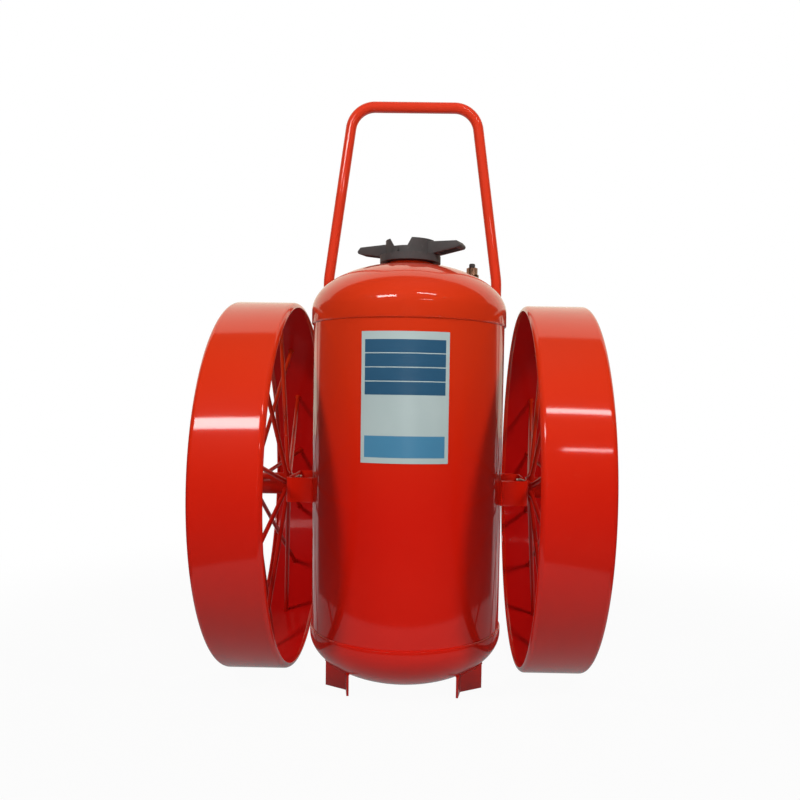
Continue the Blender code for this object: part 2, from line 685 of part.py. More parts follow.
def make_carrier(red, steel, tank_guide):
    """Shelf, saddle and strap that carry the nitrogen cylinder on the back of the tank."""
    back = CYLINDER_Y + CYLINDER_RADIUS
    shelf_top = CYLINDER_BASE - GAP
    low = shelf_top - SHELF_PLATE
    wide = SHELF_HALF_WIDTH
    lip = plate("cylinder_lip", [(-wide, back), (wide, back), (wide, back + SHELF_PLATE),
                (-wide, back + SHELF_PLATE)], SHELF_PLATE + SHELF_LIP, None, at=(0, 0, low))
    outline = [(-wide, TANK_AXIS_Y), (wide, TANK_AXIS_Y), (wide, back + GAP), (-wide, back + GAP)]
    shelf = plate("cylinder_shelf", outline, SHELF_PLATE, red, at=(0, 0, low))
    combine(shelf, lip, "UNION")
    for side, name in ((-1, "left"), (1, "right")):
        triangle = [(TANK_AXIS_Y, 0), (back, 0), (TANK_AXIS_Y + HEAD_RADIUS, -GUSSET_DEPTH),
                    (TANK_AXIS_Y, -GUSSET_DEPTH)]
        at = (side * GUSSET_SPREAD - GUSSET_PLATE / 2, 0, low + GAP)
        rib = plate(name + "_gusset", triangle, GUSSET_PLATE, None, at=at, turn=(math.pi / 2, 0, math.pi / 2))
        combine(shelf, rib, "UNION")
    combine(shelf, tank_guide)

    grip = CYLINDER_RADIUS + GAP
    profile = [(0, 0), (grip, 0), (grip, CYLINDER_LENGTH), (0, CYLINDER_LENGTH)]
    cylinder_guide = turned("cylinder_clearance", profile, None, at=(0, CYLINDER_Y, CYLINDER_BASE))
    ear = CYLINDER_Y - SADDLE_BACK
    wide = SADDLE_HALF_WIDTH
    outline = [(-wide, TANK_AXIS_Y), (wide, TANK_AXIS_Y), (wide, ear), (-wide, ear)]
    level = CYLINDER_BASE + SADDLE_LEVEL
    saddle = plate("cylinder_saddle", outline, SADDLE_HEIGHT, red, at=(0, 0, level))
    combine(saddle, tank_guide)
    combine(saddle, cylinder_guide)

    bend = grip + STRAP_PLATE / 2
    base = ear + GAP + STRAP_PLATE / 2
    hoop = arc((0, CYLINDER_Y), (bend, bend), 0, 180, STRAP_STEPS)
    path = [(wide, base), (bend, base)] + hoop + [(-bend, base), (-wide, base)]
    plate("cylinder_strap", strip_outline(path, STRAP_PLATE), SADDLE_HEIGHT, steel, at=(0, 0, level))


def make_cylinder(grey):
    """Hollow nitrogen cylinder with a round base, a shoulder and an open neck."""
    radius = CYLINDER_RADIUS
    inner = radius - CYLINDER_WALL
    edge = CYLINDER_WALL * 2
    shoulder = CYLINDER_LENGTH
    neck = CYLINDER_NECK_RADIUS
    top = shoulder + CYLINDER_SHOULDER + CYLINDER_NECK
    outside = [(0, 0), (radius - edge, 0)] + arc((radius - edge, edge), (edge, edge), -60, 0, FILLET_STEPS)
    outside += [(radius, shoulder)]
    outside += arc((neck, shoulder), (radius - neck, CYLINDER_SHOULDER), 15, 90, SHOULDER_STEPS)
    outside += [(neck, top), (CYLINDER_NECK_BORE, top)]
    crown = CYLINDER_SHOULDER - CYLINDER_WALL
    inside = arc((CYLINDER_NECK_BORE, shoulder), (inner - CYLINDER_NECK_BORE, crown), 90, 0, SHOULDER_STEPS)
    inside += [(inner, CYLINDER_WALL), (0, CYLINDER_WALL)]
    turned("nitrogen_cylinder", outside + inside, grey, ROUND_SEGMENTS, at=(0, CYLINDER_Y, CYLINDER_BASE))
    return CYLINDER_BASE + top


def make_valve(brass, steel, red, neck_top):
    """Quick-opening valve: body with a side port and a tang, its pin, and the fork lever."""
    base = neck_top + GAP
    stem = CYLINDER_NECK_BORE - GAP
    at = (0, CYLINDER_Y, base)
    profile = [(0, -VALVE_STEM), (stem, -VALVE_STEM), (stem, 0), (VALVE_RADIUS, 0),
               (VALVE_RADIUS, VALVE_HEIGHT), (0, VALVE_HEIGHT)]
    body = turned("valve_body", profile, brass, SMALL_SEGMENTS, at=at)
    half = VALVE_TANG_WIDTH / 2
    tang = [(-half, -GAP), (half, -GAP), (half, VALVE_TANG_HEIGHT), (-half, VALVE_TANG_HEIGHT)]
    turn = (math.pi / 2, 0, 0)
    tang_at = (0, CYLINDER_Y + VALVE_TANG_THICKNESS / 2, base + VALVE_HEIGHT)
    combine(body, plate("valve_tang", tang, VALVE_TANG_THICKNESS, None, at=tang_at, turn=turn), "UNION")
    port = base + VALVE_HEIGHT / 2
    neck = drill("valve_port", REGULATOR_NECK_RADIUS, (0, CYLINDER_Y, port),
                 (VALVE_RADIUS + REGULATOR_NECK, CYLINDER_Y, port))
    combine(body, neck, "UNION")
    pin_height = base + VALVE_HEIGHT + LEVER_PIN_RISE
    reach = VALVE_TANG_THICKNESS / 2 + GAP + LEVER_CHEEK
    ends = (0, CYLINDER_Y - reach, pin_height), (0, CYLINDER_Y + reach, pin_height)
    past = (0, CYLINDER_Y - 2 * reach, pin_height), (0, CYLINDER_Y + 2 * reach, pin_height)
    combine(body, drill("tang_hole", LEVER_PIN_RADIUS + GAP, *past))
    shape = bmesh.new()
    rod_mesh(shape, *ends, LEVER_PIN_RADIUS, SMALL_SEGMENTS)
    from_bmesh("lever_pin", shape, steel)

    hinge = pivot("lever_axis", (0, CYLINDER_Y, pin_height))
    high = LEVER_DEPTH / 2
    bar = [(-LEVER_REACH, -high), (-LEVER_FORK, -high)] + arc((0, 0), (high, high), -90, 90, LEVER_STEPS)
    bar += [(-LEVER_REACH, high)] + arc((-LEVER_REACH, 0), (high, high), 135, 225, FILLET_STEPS)[1:-1]
    lever = plate("valve_lever", bar, 2 * reach, red, parent=hinge, at=(0, reach, 0), turn=turn)
    slot = reach - LEVER_CHEEK
    mouth = [(-LEVER_FORK, -LEVER_DEPTH), (LEVER_DEPTH, -LEVER_DEPTH), (LEVER_DEPTH, LEVER_DEPTH),
             (-LEVER_FORK, LEVER_DEPTH)]
    combine(lever, plate("lever_mouth", mouth, 2 * slot, None, parent=hinge, at=(0, slot, 0), turn=turn))
    combine(lever, drill("lever_hole", LEVER_PIN_RADIUS + GAP, *past))
    return port


def make_regulator(brass, steel, glass, black, port):
    """Regulator on the valve's port, with a pressure gauge that faces the back."""
    start = VALVE_RADIUS + REGULATOR_NECK + GAP
    rim = REGULATOR_RADIUS
    step = REGULATOR_LENGTH / 4
    collar = REGULATOR_COLLAR_RADIUS
    profile = [(0, 0), (collar, 0), (collar, step), (rim, step), (rim, 2 * step),
               (REGULATOR_WAIST_RADIUS, 2 * step), (REGULATOR_NOSE_RADIUS, REGULATOR_LENGTH),
               (0, REGULATOR_LENGTH)]
    turned("regulator", profile, brass, at=(start, CYLINDER_Y, port), turn=(0, math.pi / 2, 0))

    middle = start + 1.5 * step
    face = CYLINDER_Y + rim + GAP
    turn = (-math.pi / 2, 0, 0)
    bezel = GAUGE_RADIUS
    well = GAUGE_RADIUS - GAUGE_WALL
    floor = GAUGE_STEM + GAUGE_WALL
    front = GAUGE_STEM + GAUGE_DEPTH
    seat = front - LENS_THICKNESS
    profile = [(0, 0), (GAUGE_STEM_RADIUS, 0), (GAUGE_STEM_RADIUS, GAUGE_STEM), (bezel, GAUGE_STEM),
               (bezel, front), (well, front), (well, seat - GAP), (well - GAUGE_WALL, seat - GAP),
               (well - GAUGE_WALL, floor), (0, floor)]
    dial = pivot("gauge_axis", (middle, face, port), turn)
    turned("gauge_case", profile, steel, parent=dial)
    disc = well - GAP
    turned("gauge_lens", [(0, seat), (disc, seat), (disc, front), (0, front)], glass, parent=dial)
    arrow = [(-NEEDLE_TAIL, -GAUGE_WALL / 2), (0, -GAUGE_WALL), (NEEDLE_LENGTH, 0), (0, GAUGE_WALL),
             (-NEEDLE_TAIL, GAUGE_WALL / 2)]
    needle = plate("gauge_needle", arrow, NEEDLE_THICKNESS, black, parent=dial,
                   at=(0, 0, floor + NEEDLE_STANDOFF), turn=(0, 0, NEEDLE_REST))
    shape = bmesh.new()
    hub_top = floor + NEEDLE_STANDOFF + NEEDLE_THICKNESS
    rod_mesh(shape, (0, 0, floor + GAP), (0, 0, hub_top), GAUGE_WALL / 2, NEEDLE_SIDES)
    combine(needle, from_bmesh("needle_hub", shape, None, parent=dial), "UNION")
    return middle


def make_plumbing(steel, wall, tank_guide, port, regulator_middle):
    """Gas inlet with its line, powder outlet and the siphon tube inside the tank."""
    level = TOP_TANGENT - PORT_DROP
    face = TANK_AXIS_Y + math.sqrt(TANK_RADIUS ** 2 - PORT_SPREAD ** 2)
    end = face + PORT_BOSS_REACH
    for side, name in ((1, "gas_inlet_boss"), (-1, "outlet_boss")):
        at = (side * PORT_SPREAD, TANK_AXIS_Y, level)
        depth = end - TANK_AXIS_Y
        bore = PORT_BORE if side > 0 else SIPHON_RADIUS + GAP
        outer = PORT_BOSS_RADIUS if side > 0 else SIPHON_RADIUS + PORT_BORE
        boss = turned(name, [(bore, 0), (outer, 0), (outer, depth), (bore, depth)], steel, SMALL_SEGMENTS,
                      at=at, turn=(-math.pi / 2, 0, 0))
        combine(boss, tank_guide)
        start = (at[0], TANK_AXIS_Y, level)
        combine(wall, drill(name + "_hole", bore, start, (at[0], end, level)))

    turn_off = end + GAP + LINE_STANDOFF
    leave = CYLINDER_Y - REGULATOR_RADIUS - GAP
    route = [(regulator_middle, leave, port), (regulator_middle, turn_off, port),
             (PORT_SPREAD, turn_off, port), (PORT_SPREAD, turn_off, level), (PORT_SPREAD, end + GAP, level)]
    pipe("gas_line", rounded_path(route, LINE_BEND), LINE_RADIUS, steel, sides=LINE_FACETS)

    x = -PORT_SPREAD
    mouth = end + GAP + OUTLET_REACH
    route = [(x, end + GAP, level), (x, mouth, level), (x, mouth, level - OUTLET_DROP)]
    pipe("outlet_elbow", rounded_path(route, OUTLET_BEND), OUTLET_RADIUS, steel, wall=OUTLET_WALL)
    inner = face - SIPHON_INSET
    far = math.hypot(x, inner - TANK_AXIS_Y) + SIPHON_RADIUS
    dish = math.sqrt(1 - (far / (HEAD_RADIUS - HEAD_WALL)) ** 2)
    foot = BOTTOM_TANGENT - (HEAD_DEPTH - HEAD_WALL) * dish + SIPHON_FLOOR_GAP
    route = [(x, end, level), (x, inner, level), (x, inner, foot)]
    path = rounded_path(route, SIPHON_BEND)
    pipe("siphon_tube", path, SIPHON_RADIUS, steel, wall=SIPHON_WALL, sides=LINE_FACETS)
    return x, inner


def make_powder(powder, siphon):
    """The settled powder in the tank, clear of the siphon tube."""
    radius = TANK_RADIUS - TANK_WALL - GAP
    depth = HEAD_DEPTH - HEAD_WALL - GAP
    dished = head_curve(radius, depth, BOTTOM_TANGENT, -1, steps=HEAD_INSIDE_STEPS)
    profile = dished[::-1] + [(radius, POWDER_LEVEL), (0, POWDER_LEVEL)]
    charge = turned("powder_charge", profile, powder, TANK_SEGMENTS // 2, at=(0, TANK_AXIS_Y, 0))
    x, y = siphon
    hole = drill("siphon_space", SIPHON_RADIUS + GAP + RUNNING, (x, y, 0), (x, y, POWDER_LEVEL + LAP))
    combine(charge, hole)


def build():
    """Make every piece of the extinguisher."""
    start_empty()
    red = finish_material("red_paint", (0.55, 0.016, 0.008), 0.28, 0.0)
    black = finish_material("black_plastic", (0.022, 0.022, 0.024), 0.55, 0.0)
    brass = finish_material("brass", (0.52, 0.34, 0.12), 0.34, 1.0)
    bronze = finish_material("bronze", (0.42, 0.25, 0.10), 0.45, 1.0)
    steel = finish_material("zinc_steel", (0.55, 0.56, 0.57), 0.38, 1.0)
    rubber = finish_material("rubber", (0.02, 0.02, 0.02), 0.8, 0.0)
    grey = finish_material("grey_paint", (0.16, 0.17, 0.18), 0.4, 0.0)
    glass = finish_material("clear_lens", (0.9, 0.92, 0.93), 0.05, 0.0)
    powder = finish_material("powder", (0.74, 0.68, 0.42), 0.95, 0.0)

    tank_guide = tank_clearance()
    wall = make_tank(red)
    make_cap(black, rubber)
    make_feet(red, tank_guide)
    for side, name in ((-1, "left"), (1, "right")):
        make_wheel(side, name, red, bronze, steel, black)
        make_bracket(side, name, red, tank_guide)
    make_handle(red, steel)
    make_relief(brass, black, tank_guide)
    make_carrier(red, steel, tank_guide)
    neck_top = make_cylinder(grey)
    port = make_valve(brass, steel, red, neck_top)
    regulator_middle = make_regulator(brass, steel, glass, black, port)
    siphon = make_plumbing(steel, wall, tank_guide, port, regulator_middle)
    make_powder(powder, siphon)


build()
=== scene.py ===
"""Looks of a wheeled powder fire extinguisher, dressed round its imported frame.

Metres, +Z up. The front of the tank faces -Y and the right-hand wheel stands at +X.
"""
import math

import bpy
from mathutils import Matrix, Vector


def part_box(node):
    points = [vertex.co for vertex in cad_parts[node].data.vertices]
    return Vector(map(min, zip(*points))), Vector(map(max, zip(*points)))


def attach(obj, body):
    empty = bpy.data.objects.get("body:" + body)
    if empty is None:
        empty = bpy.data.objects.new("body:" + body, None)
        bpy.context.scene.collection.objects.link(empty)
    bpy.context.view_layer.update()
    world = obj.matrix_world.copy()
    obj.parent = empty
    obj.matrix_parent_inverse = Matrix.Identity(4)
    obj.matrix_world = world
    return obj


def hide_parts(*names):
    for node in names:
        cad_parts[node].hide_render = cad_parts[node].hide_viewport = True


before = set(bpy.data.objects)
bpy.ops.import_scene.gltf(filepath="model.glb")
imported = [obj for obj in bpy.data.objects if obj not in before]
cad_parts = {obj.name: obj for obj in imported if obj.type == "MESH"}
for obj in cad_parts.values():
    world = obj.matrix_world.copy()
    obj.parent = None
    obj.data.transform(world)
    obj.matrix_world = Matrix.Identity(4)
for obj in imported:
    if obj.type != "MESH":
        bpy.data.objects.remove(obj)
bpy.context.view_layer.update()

X = Vector((1, 0, 0))
Y = Vector((0, 1, 0))
Z = Vector((0, 0, 1))
SIDES = (("left", -1), ("right", 1))

# The photograph's camera, its lens in pixels
PHOTO_WIDTH = 800
FOCAL_PIXELS = 766.44
OPTICAL_CENTRE = (426.2, 448.0)
CAMERA_PLACE = (0.0746, -2.2878, 0.7924)
CAMERA_YAW = math.radians(-0.606)
CAMERA_DOWN = math.radians(3.657)
CAMERA_ROLL = math.radians(0.912)
SENSOR_WIDTH = 36.0
FLOOR_RADIUS = 14

# Smoothness of the meshes
MERGE = 0.00001
FLAT_ANGLE = math.radians(1)
EDGE_ANGLE = math.radians(35)
COPY_SEGMENTS = 2
TANK_STEPS = 144
BAND_STEPS = 200
ROUND_STEPS = 64
SMALL_STEPS = 40
SPOKE_STEPS = 16
TUBE_SIDES = 8
BEAD_SIDES = 3
BEAD_PITCH = 0.0045
BEAD_SWELL = 0.14
BEAD_TURN = 2.4
FINE_STEPS = 96
HEAD_STEPS = 40
LINING_STEPS = 24
BEND_STEPS = 20
CORNER_STEPS = 8
LIP_STEPS = 5

# Rounding of edges
HAIR_EDGE = 0.0004
THIN_EDGE = 0.0005
FINE_EDGE = 0.0006
VALVE_EDGE = 0.0007
TURNED_EDGE = 0.0008
NUT_EDGE = 0.0009
PLATE_EDGE = 0.0010
BLUNT_EDGE = 0.0012
HUB_EDGE = 0.0015
WING_EDGE = 0.0020
CAP_EDGE = 0.0024

# Tank
HEAD_DEPTH = 0.135
TOP_SKIRT = 0.032
SHELL = 0.004
WALL_SHEET = 0.005
NECK_BORE = 0.050
THREAD_RADIUS = 0.058
THREAD_DEPTH = 0.0015
THREAD_PITCH = 0.004
COLLAR_SHOULDER = 0.0059
SEAM_BEAD = 0.0028
SEAM_DROP = 0.0006
SEAM_SEAT = 0.0014
NECK_BEAD = 0.0042
PLATE_BEAD = 0.0032
BEAD_SEAT = 0.001

# Cap
CAP_OVERHANG = 0.033
CAP_SKIRT_HEIGHT = 0.019
CAP_SKIRT = 0.0835
CAP_TOWER = 0.068
CAP_TURN = math.radians(-24)
CAP_FILLET = 0.002
CAP_CLEARANCE = 0.0012
SLOT_MIDDLE = -0.024
SLOT_MOUTH = 0.030
SLOT_FOOT = 0.018
SLOT_DEPTH = 0.021
SLOT_EXCESS = 0.001
VENT_SIDE = -0.031
VENT_HEIGHT = 1.1865
VENT_RADIUS = 0.0024
VENT_START = -0.09
VENT_STOP = -0.055
WING_REACH = 0.155
WING_WIDTH = 0.046
WING_ROOT = 0.036
WING_TIP = 0.018
WING_SHELL = 0.006
WING_SINK = 0.002
WING_OVERLAP = 0.006
WING_DROP_SHARE = 0.85
WING_NOSE = 0.003
WING_NOSE_RISE = 0.004
WING_CHAMFER = 0.009
WING_CHAMFER_DROP = 0.010
WING_CUT_BELOW = 0.010
WING_ROOF_FALL = 0.004

# Wheels
AXLE = 0.5334
WHEEL_MIDDLE = 0.417
BAND_SHOULDER = 0.014
BAND_SHEET = 0.0065
BAND_INSET = 0.004
DULL_HALF = 0.0755
DULL_START = 0.5305
DULL_FULL = 0.5290
HUB_RADIUS = 0.032
HUB_HALF = 0.067
HUB_BORE = 0.0209
SPOKE_RADIUS = 0.00635
SPOKES_PER_END = 8
FIRST_SPOKE = {-1: math.radians(15.6), 1: math.radians(38.1)}
SPOKE_END = 0.053
SPOKE_FOOT = 0.028
SPOKE_WELD = 0.010
WELD_FLARE = 1.55

# Axles
AXLE_RADIUS = 0.016
AXLE_BORE = 0.0163
AXLE_FLANGE = 0.010
AXLE_CHAMFER = 0.002
AXLE_TIP = 0.0015
CENTRE_HOLE = 0.006
CENTRE_DEPTH = 0.003

# Handle
HANDLE_RADIUS = 0.016
HANDLE_KNEE = 1.150
HANDLE_TOP_HALF = 0.182
KNEE_BEND = 0.200
GRIP_BEND = 0.073
CLAMP_PLATE = 0.004
CLAMP_BOLT = 0.031
CLAMP_BOLT_SIZE = 0.0085
BRACKET_WELD_OUT = 0.0006
BRACKET_WELD_END = 0.002

# Feet, seen from above on the right-hand side
FOOT_PLAN = (Vector((0.2137, -0.2150)), Vector((0.1527, -0.2510)), Vector((0.1455, -0.2965)))
FOOT_BEAD = 0.0052

# Label on the front of the wall
LABEL_HALF_WIDTH = 0.1085
LABEL_LOW = 0.632
LABEL_HIGH = 0.957
LABEL_THICKNESS = 0.0007
LABEL_LIFT = 0.0002
LABEL_STEPS = 40
FIELD_HALF_WIDTH = 0.100
HEAD_FIELD = (0.800, 0.938)
FOOT_FIELD = (0.646, 0.700)
RULE_PITCH = 0.0173
RULE_HALF = 0.0012

# Carrier of the gas cylinder
SHELF_HALF = 0.078
SHELF_WELDS = (0.0272, 0.0188)
SADDLE_HALF = 0.124
STRAP_BOLT_INSET = 0.014
STRAP_PLATE = 0.003
STRAP_BOLT_SIZE = 0.009

# Gas cylinder
CYLINDER_EDGE = 0.014
DISH_RISE = 0.004
DISH_EDGE = 0.001
DISH_SHARE = 0.6
CYLINDER_SHOULDER = 0.060
CYLINDER_NECK = 0.025
NECK_RADIUS = 0.018
NECK_RING = 0.003
NECK_RING_HEIGHT = 0.010
NECK_RING_SLOPE = 0.001

# Gas valve
VALVE_GAP = 0.0003
VALVE_HEIGHT = 0.058
VALVE_PROFILE = ((0, -0.012), (0.009, -0.012), (0.009, 0), (0.019, 0), (0.019, 0.004), (0.016, 0.006),
                 (0.016, 0.044), (0.019, 0.047), (0.019, VALVE_HEIGHT), (0, VALVE_HEIGHT))
VALVE_HEX = 0.034
VALVE_HEX_HEIGHT = 0.013
VALVE_HEX_RISE = 0.003
TANG_HALF = 0.012
TANG_THICKNESS = 0.010
TANG_SINK = 0.004
TANG_SHOULDER = 0.008
TANG_STEPS = 10
PORT_RADIUS = 0.011
PORT_HEX = 0.026
PORT_HEX_HEIGHT = 0.0105
PORT_HEX_BACK = 0.011
RIVET_RADIUS = 0.004

# Regulator and gauge
REGULATOR_COLLAR = 0.0224
REGULATOR_RADIUS = 0.028
REGULATOR_GROOVE = 0.0268
REGULATOR_WAIST = 0.021
REGULATOR_NOSE = 0.0168
GRIP_RINGS = 4
GRIP_START = 0.002
GRIP_PITCH = 0.0035
GRIP_STEP = 0.0008
GAUGE_STEM = 0.007
GAUGE_FLOOR = -0.0175
GAUGE_PROFILE = ((GAUGE_STEM, -0.020), (0.026, -0.020), (0.028, -0.017), (0.028, 0), (0.0255, 0),
                 (0.0255, -0.0023), (0.023, -0.0023), (0.023, GAUGE_FLOOR), (0, GAUGE_FLOOR))
DIAL_RADIUS = 0.0226
DIAL_LIFT = 0.0001
DIAL_MARKS = 13
DIAL_START = -45
DIAL_SWEEP = 270
MARK_HALF = 0.0005
MARK_OUTER = 0.0212
MARK_LONG = 0.0165
MARK_SHORT = 0.0185
MARK_LIFT = 0.00015
MARK_THICKNESS = 0.0003

# Gas line and powder outlet
LINE_RADIUS = 0.005
LINE_STANDOFF = 0.030
LINE_BEND = 0.020
LINE_HEX = 0.017
LINE_HEX_HEIGHT = 0.012
INLET_BORE = 0.008
OUTLET_BORE = 0.0168
BOSS_SINK = 0.002
OUTLET_RADIUS = 0.019
OUTLET_WALL = 0.004
OUTLET_BEND = 0.030
OUTLET_EXCESS = 0.003


# Shader nodes
class Value:
    """One output socket, so that shader maths reads as plain sums."""

    def __init__(self, nodes, socket):
        self.nodes = nodes
        self.socket = socket

    def out(self, name):
        """Another output of the same node."""
        return Value(self.nodes, self.socket.node.outputs[name])

    def math(self, operation, first, second):
        return self.nodes.node("ShaderNodeMath", {"operation": operation}, {0: first, 1: second})

    def __add__(self, other):
        return self.math("ADD", self, other)

    __radd__ = __add__

    def __sub__(self, other):
        return self.math("SUBTRACT", self, other)

    def __rsub__(self, other):
        return self.math("SUBTRACT", other, self)

    def __mul__(self, other):
        return self.math("MULTIPLY", self, other)

    __rmul__ = __mul__

    def top(self, other):
        """The larger of the two."""
        return self.math("MAXIMUM", self, other)

    def above(self, edge):
        """One where the value is over an edge, and nothing elsewhere."""
        return self.math("GREATER_THAN", self, edge)

    def within(self, low, high):
        """One where the value lies between two edges, and nothing elsewhere."""
        return (self - low).above(0) * (high - self).above(0)


class Nodes:
    """Adds nodes to one tree, and gives each back as a Value."""

    def __init__(self, tree):
        self.tree = tree
        tree.nodes.clear()

    def node(self, kind, settings=None, sockets=None, output=0):
        made = self.tree.nodes.new(kind)
        for name, value in (settings or {}).items():
            setattr(made, name, value)
        for name, value in (sockets or {}).items():
            socket = made.inputs[name]
            if isinstance(value, Value):
                self.tree.links.new(value.socket, socket)
            else:
                socket.default_value = (*value, 1) if socket.type == "RGBA" else value
        return Value(self, made.outputs[output]) if made.outputs else None

    def place(self):
        """Object coordinates, which are the frame's own metres."""
        return self.node("ShaderNodeTexCoord", output="Object")

    def noise(self, place, scale, detail=2.0, rough=0.5):
        sockets = {"Vector": place, "Scale": scale, "Detail": detail, "Roughness": rough}
        return self.node("ShaderNodeTexNoise", {}, sockets)

    def stretched(self, place, scale):
        """The place scaled apart on each axis, for streaks."""
        return self.node("ShaderNodeMapping", {}, {"Vector": place, "Scale": scale})

    def rise(self, value, low, high):
        """Nothing below low, one above high, smooth between."""
        sockets = {"Value": value, "From Min": low, "From Max": high}
        return self.node("ShaderNodeMapRange", {"interpolation_type": "SMOOTHSTEP"}, sockets)

    def mix(self, share, first, second):
        """One colour going over to another."""
        return self.node("ShaderNodeMix", {"data_type": "RGBA"}, {0: share, 6: first, 7: second}, 2)

    def bump(self, height, strength, depth):
        sockets = {"Height": height, "Strength": strength, "Distance": depth}
        return self.node("ShaderNodeBump", {}, sockets)

    def rays(self):
        """One for a ray from the camera, and one for any ray that shows the surface it meets."""
        camera = self.node("ShaderNodeLightPath", output="Is Camera Ray")
        seen = camera.top(camera.out("Is Glossy Ray")).top(camera.out("Is Transmission Ray"))
        return camera, seen

    def axes(self, vector):
        """The X output of a vector split up; out gives the others."""
        return self.node("ShaderNodeSeparateXYZ", {}, {"Vector": vector})


def finish(name, recipe):
    """A material whose recipe gives the sockets of its Principled shader."""
    material = bpy.data.materials.new(name)
    material.use_nodes = True
    nodes = Nodes(material.node_tree)
    shader = nodes.node("ShaderNodeBsdfPrincipled", {}, recipe(nodes))
    nodes.node("ShaderNodeOutputMaterial", {}, {"Surface": shader})
    return material


def enamel(deep, bright, peel, scuffing):
    """Recipe of sprayed red enamel: drifting tone, orange peel, dust specks, faint scuffs and a painted
    warm highlight towards the top.
    """
    def recipe(nodes):
        place = nodes.place()
        drift = nodes.noise(place, 2.6, 3.0)
        sprayed = nodes.noise(place, 420.0, 2.0)
        ripple = nodes.noise(place, 95.0, 1.0)
        rub = nodes.rise(nodes.noise(place, 31.0, 7.0, 0.68), 0.60, 0.74)
        fleck = nodes.rise(nodes.noise(place, 700.0, 1.0), 0.70, 0.78)
        worn = rub * scuffing
        # Painted light: the red is lifted towards orange with height, as a warm highlight over the upper
        # tank and dome.
        painted_top_light = nodes.rise(nodes.axes(place).out("Z"), 0.45, 1.05)
        tone = nodes.mix(drift, deep, bright)
        tone = nodes.mix(painted_top_light, tone, (0.62, 0.034, 0.006))
        tone = nodes.mix(worn, tone, (0.62, 0.045, 0.022))
        tone = nodes.mix(fleck * 0.2, tone, (0.32, 0.006, 0.003))
        height = sprayed * peel + ripple
        return {
            "Base Color": tone,
            "Roughness": 0.42 + worn * 0.3 + sprayed * 0.05,
            "Specular IOR Level": 0.08,
            "Coat Weight": 0.92 - worn,
            "Coat Roughness": 0.05,
            "Coat IOR": 1.5,
            "Normal": nodes.bump(height, 0.045, 0.002),
        }
    return recipe


def band_enamel(nodes):
    """Recipe of the wheel bands' enamel, coarser outside, dull and dark on the side of the spokes."""
    sockets = enamel((0.56, 0.006, 0.0015), (0.65, 0.013, 0.003), 2.4, 0.16)(nodes)
    place = nodes.place()
    sideless = {"Vector": place, "Location": (0, 0, -AXLE), "Scale": (0, 1, 1)}
    axle = nodes.node("ShaderNodeMapping", {}, sideless)
    radius = nodes.node("ShaderNodeVectorMath", {"operation": "LENGTH"}, {0: axle}, "Value")
    across = nodes.axes(place)
    across = across.math("ABSOLUTE", across, 0) - WHEEL_MIDDLE + BAND_INSET
    across = across.math("ABSOLUTE", across, 0)
    inside = nodes.rise(radius, DULL_START, DULL_FULL) * (DULL_HALF - across).above(0)
    sockets["Base Color"] = nodes.mix(inside, sockets["Base Color"], (0.56, 0.004, 0.003))
    sockets["Coat Weight"] = sockets["Coat Weight"] * (1 - inside * 0.93)
    sockets["Coat Roughness"] = 0.08
    return sockets


def tube_enamel(nodes):
    """Recipe of the enamel on the bent handle, its base colour lifted towards pale orange-red as a painted
    highlight.
    """
    sockets = enamel((0.58, 0.008, 0.003), (0.67, 0.015, 0.005), 0.1, 0.05)(nodes)
    # Painted highlight: the base colour is lifted towards pale orange-red.
    sockets["Base Color"] = nodes.mix(0.4, sockets["Base Color"], (0.86, 0.055, 0.026))
    return sockets


def spoke_enamel(nodes):
    """Recipe of the duller enamel on the spokes and hubs, its base colour darkened as painted shade."""
    # Painted shade: both the deep and the bright tone are darker than the tank's red.
    sockets = enamel((0.42, 0.005, 0.002), (0.54, 0.010, 0.004), 0.1, 0.2)(nodes)
    sockets["Coat Weight"] = sockets["Coat Weight"] * 0.3
    return sockets


def moulding(nodes):
    """Recipe of black moulded plastic with a fine grain and chalky rubbing."""
    place = nodes.place()
    grain = nodes.noise(place, 1500.0, 2.0)
    cloud = nodes.noise(place, 22.0, 4.0, 0.6)
    rub = nodes.rise(nodes.noise(place, 90.0, 6.0, 0.7), 0.56, 0.75)
    tone = nodes.mix(cloud, (0.052, 0.046, 0.045), (0.084, 0.074, 0.072))
    tone = nodes.mix(rub * 0.45, tone, (0.15, 0.135, 0.13))
    return {
        "Base Color": tone,
        "Roughness": 0.50 + cloud * 0.16,
        "Specular IOR Level": 0.42,
        "Normal": nodes.bump(grain + cloud, 0.12, 0.0006),
    }


def metal(dark, light, roughness, streaks):
    """Recipe of bare or plated metal with turning streaks and dull patches."""
    def recipe(nodes):
        place = nodes.place()
        cloud = nodes.noise(place, 60.0, 4.0, 0.6)
        lines = nodes.noise(nodes.stretched(place, streaks), 40.0, 3.0)
        stain = nodes.rise(nodes.noise(place, 150.0, 5.0, 0.7), 0.55, 0.75)
        tone = nodes.mix(cloud, dark, light)
        tone = nodes.mix(stain * 0.5, tone, dark)
        return {
            "Base Color": tone,
            "Metallic": 1.0 - stain * 0.15,
            "Roughness": roughness + cloud * 0.14 + stain * 0.15,
            "Normal": nodes.bump(lines + cloud, 0.08, 0.0008),
        }
    return recipe


def rubber(nodes):
    """Recipe of dull black rubber."""
    place = nodes.place()
    cloud = nodes.noise(place, 120.0, 4.0)
    return {
        "Base Color": nodes.mix(cloud, (0.016, 0.016, 0.016), (0.035, 0.034, 0.033)),
        "Roughness": 0.72 + cloud * 0.15,
        "Normal": nodes.bump(cloud, 0.2, 0.0006),
    }


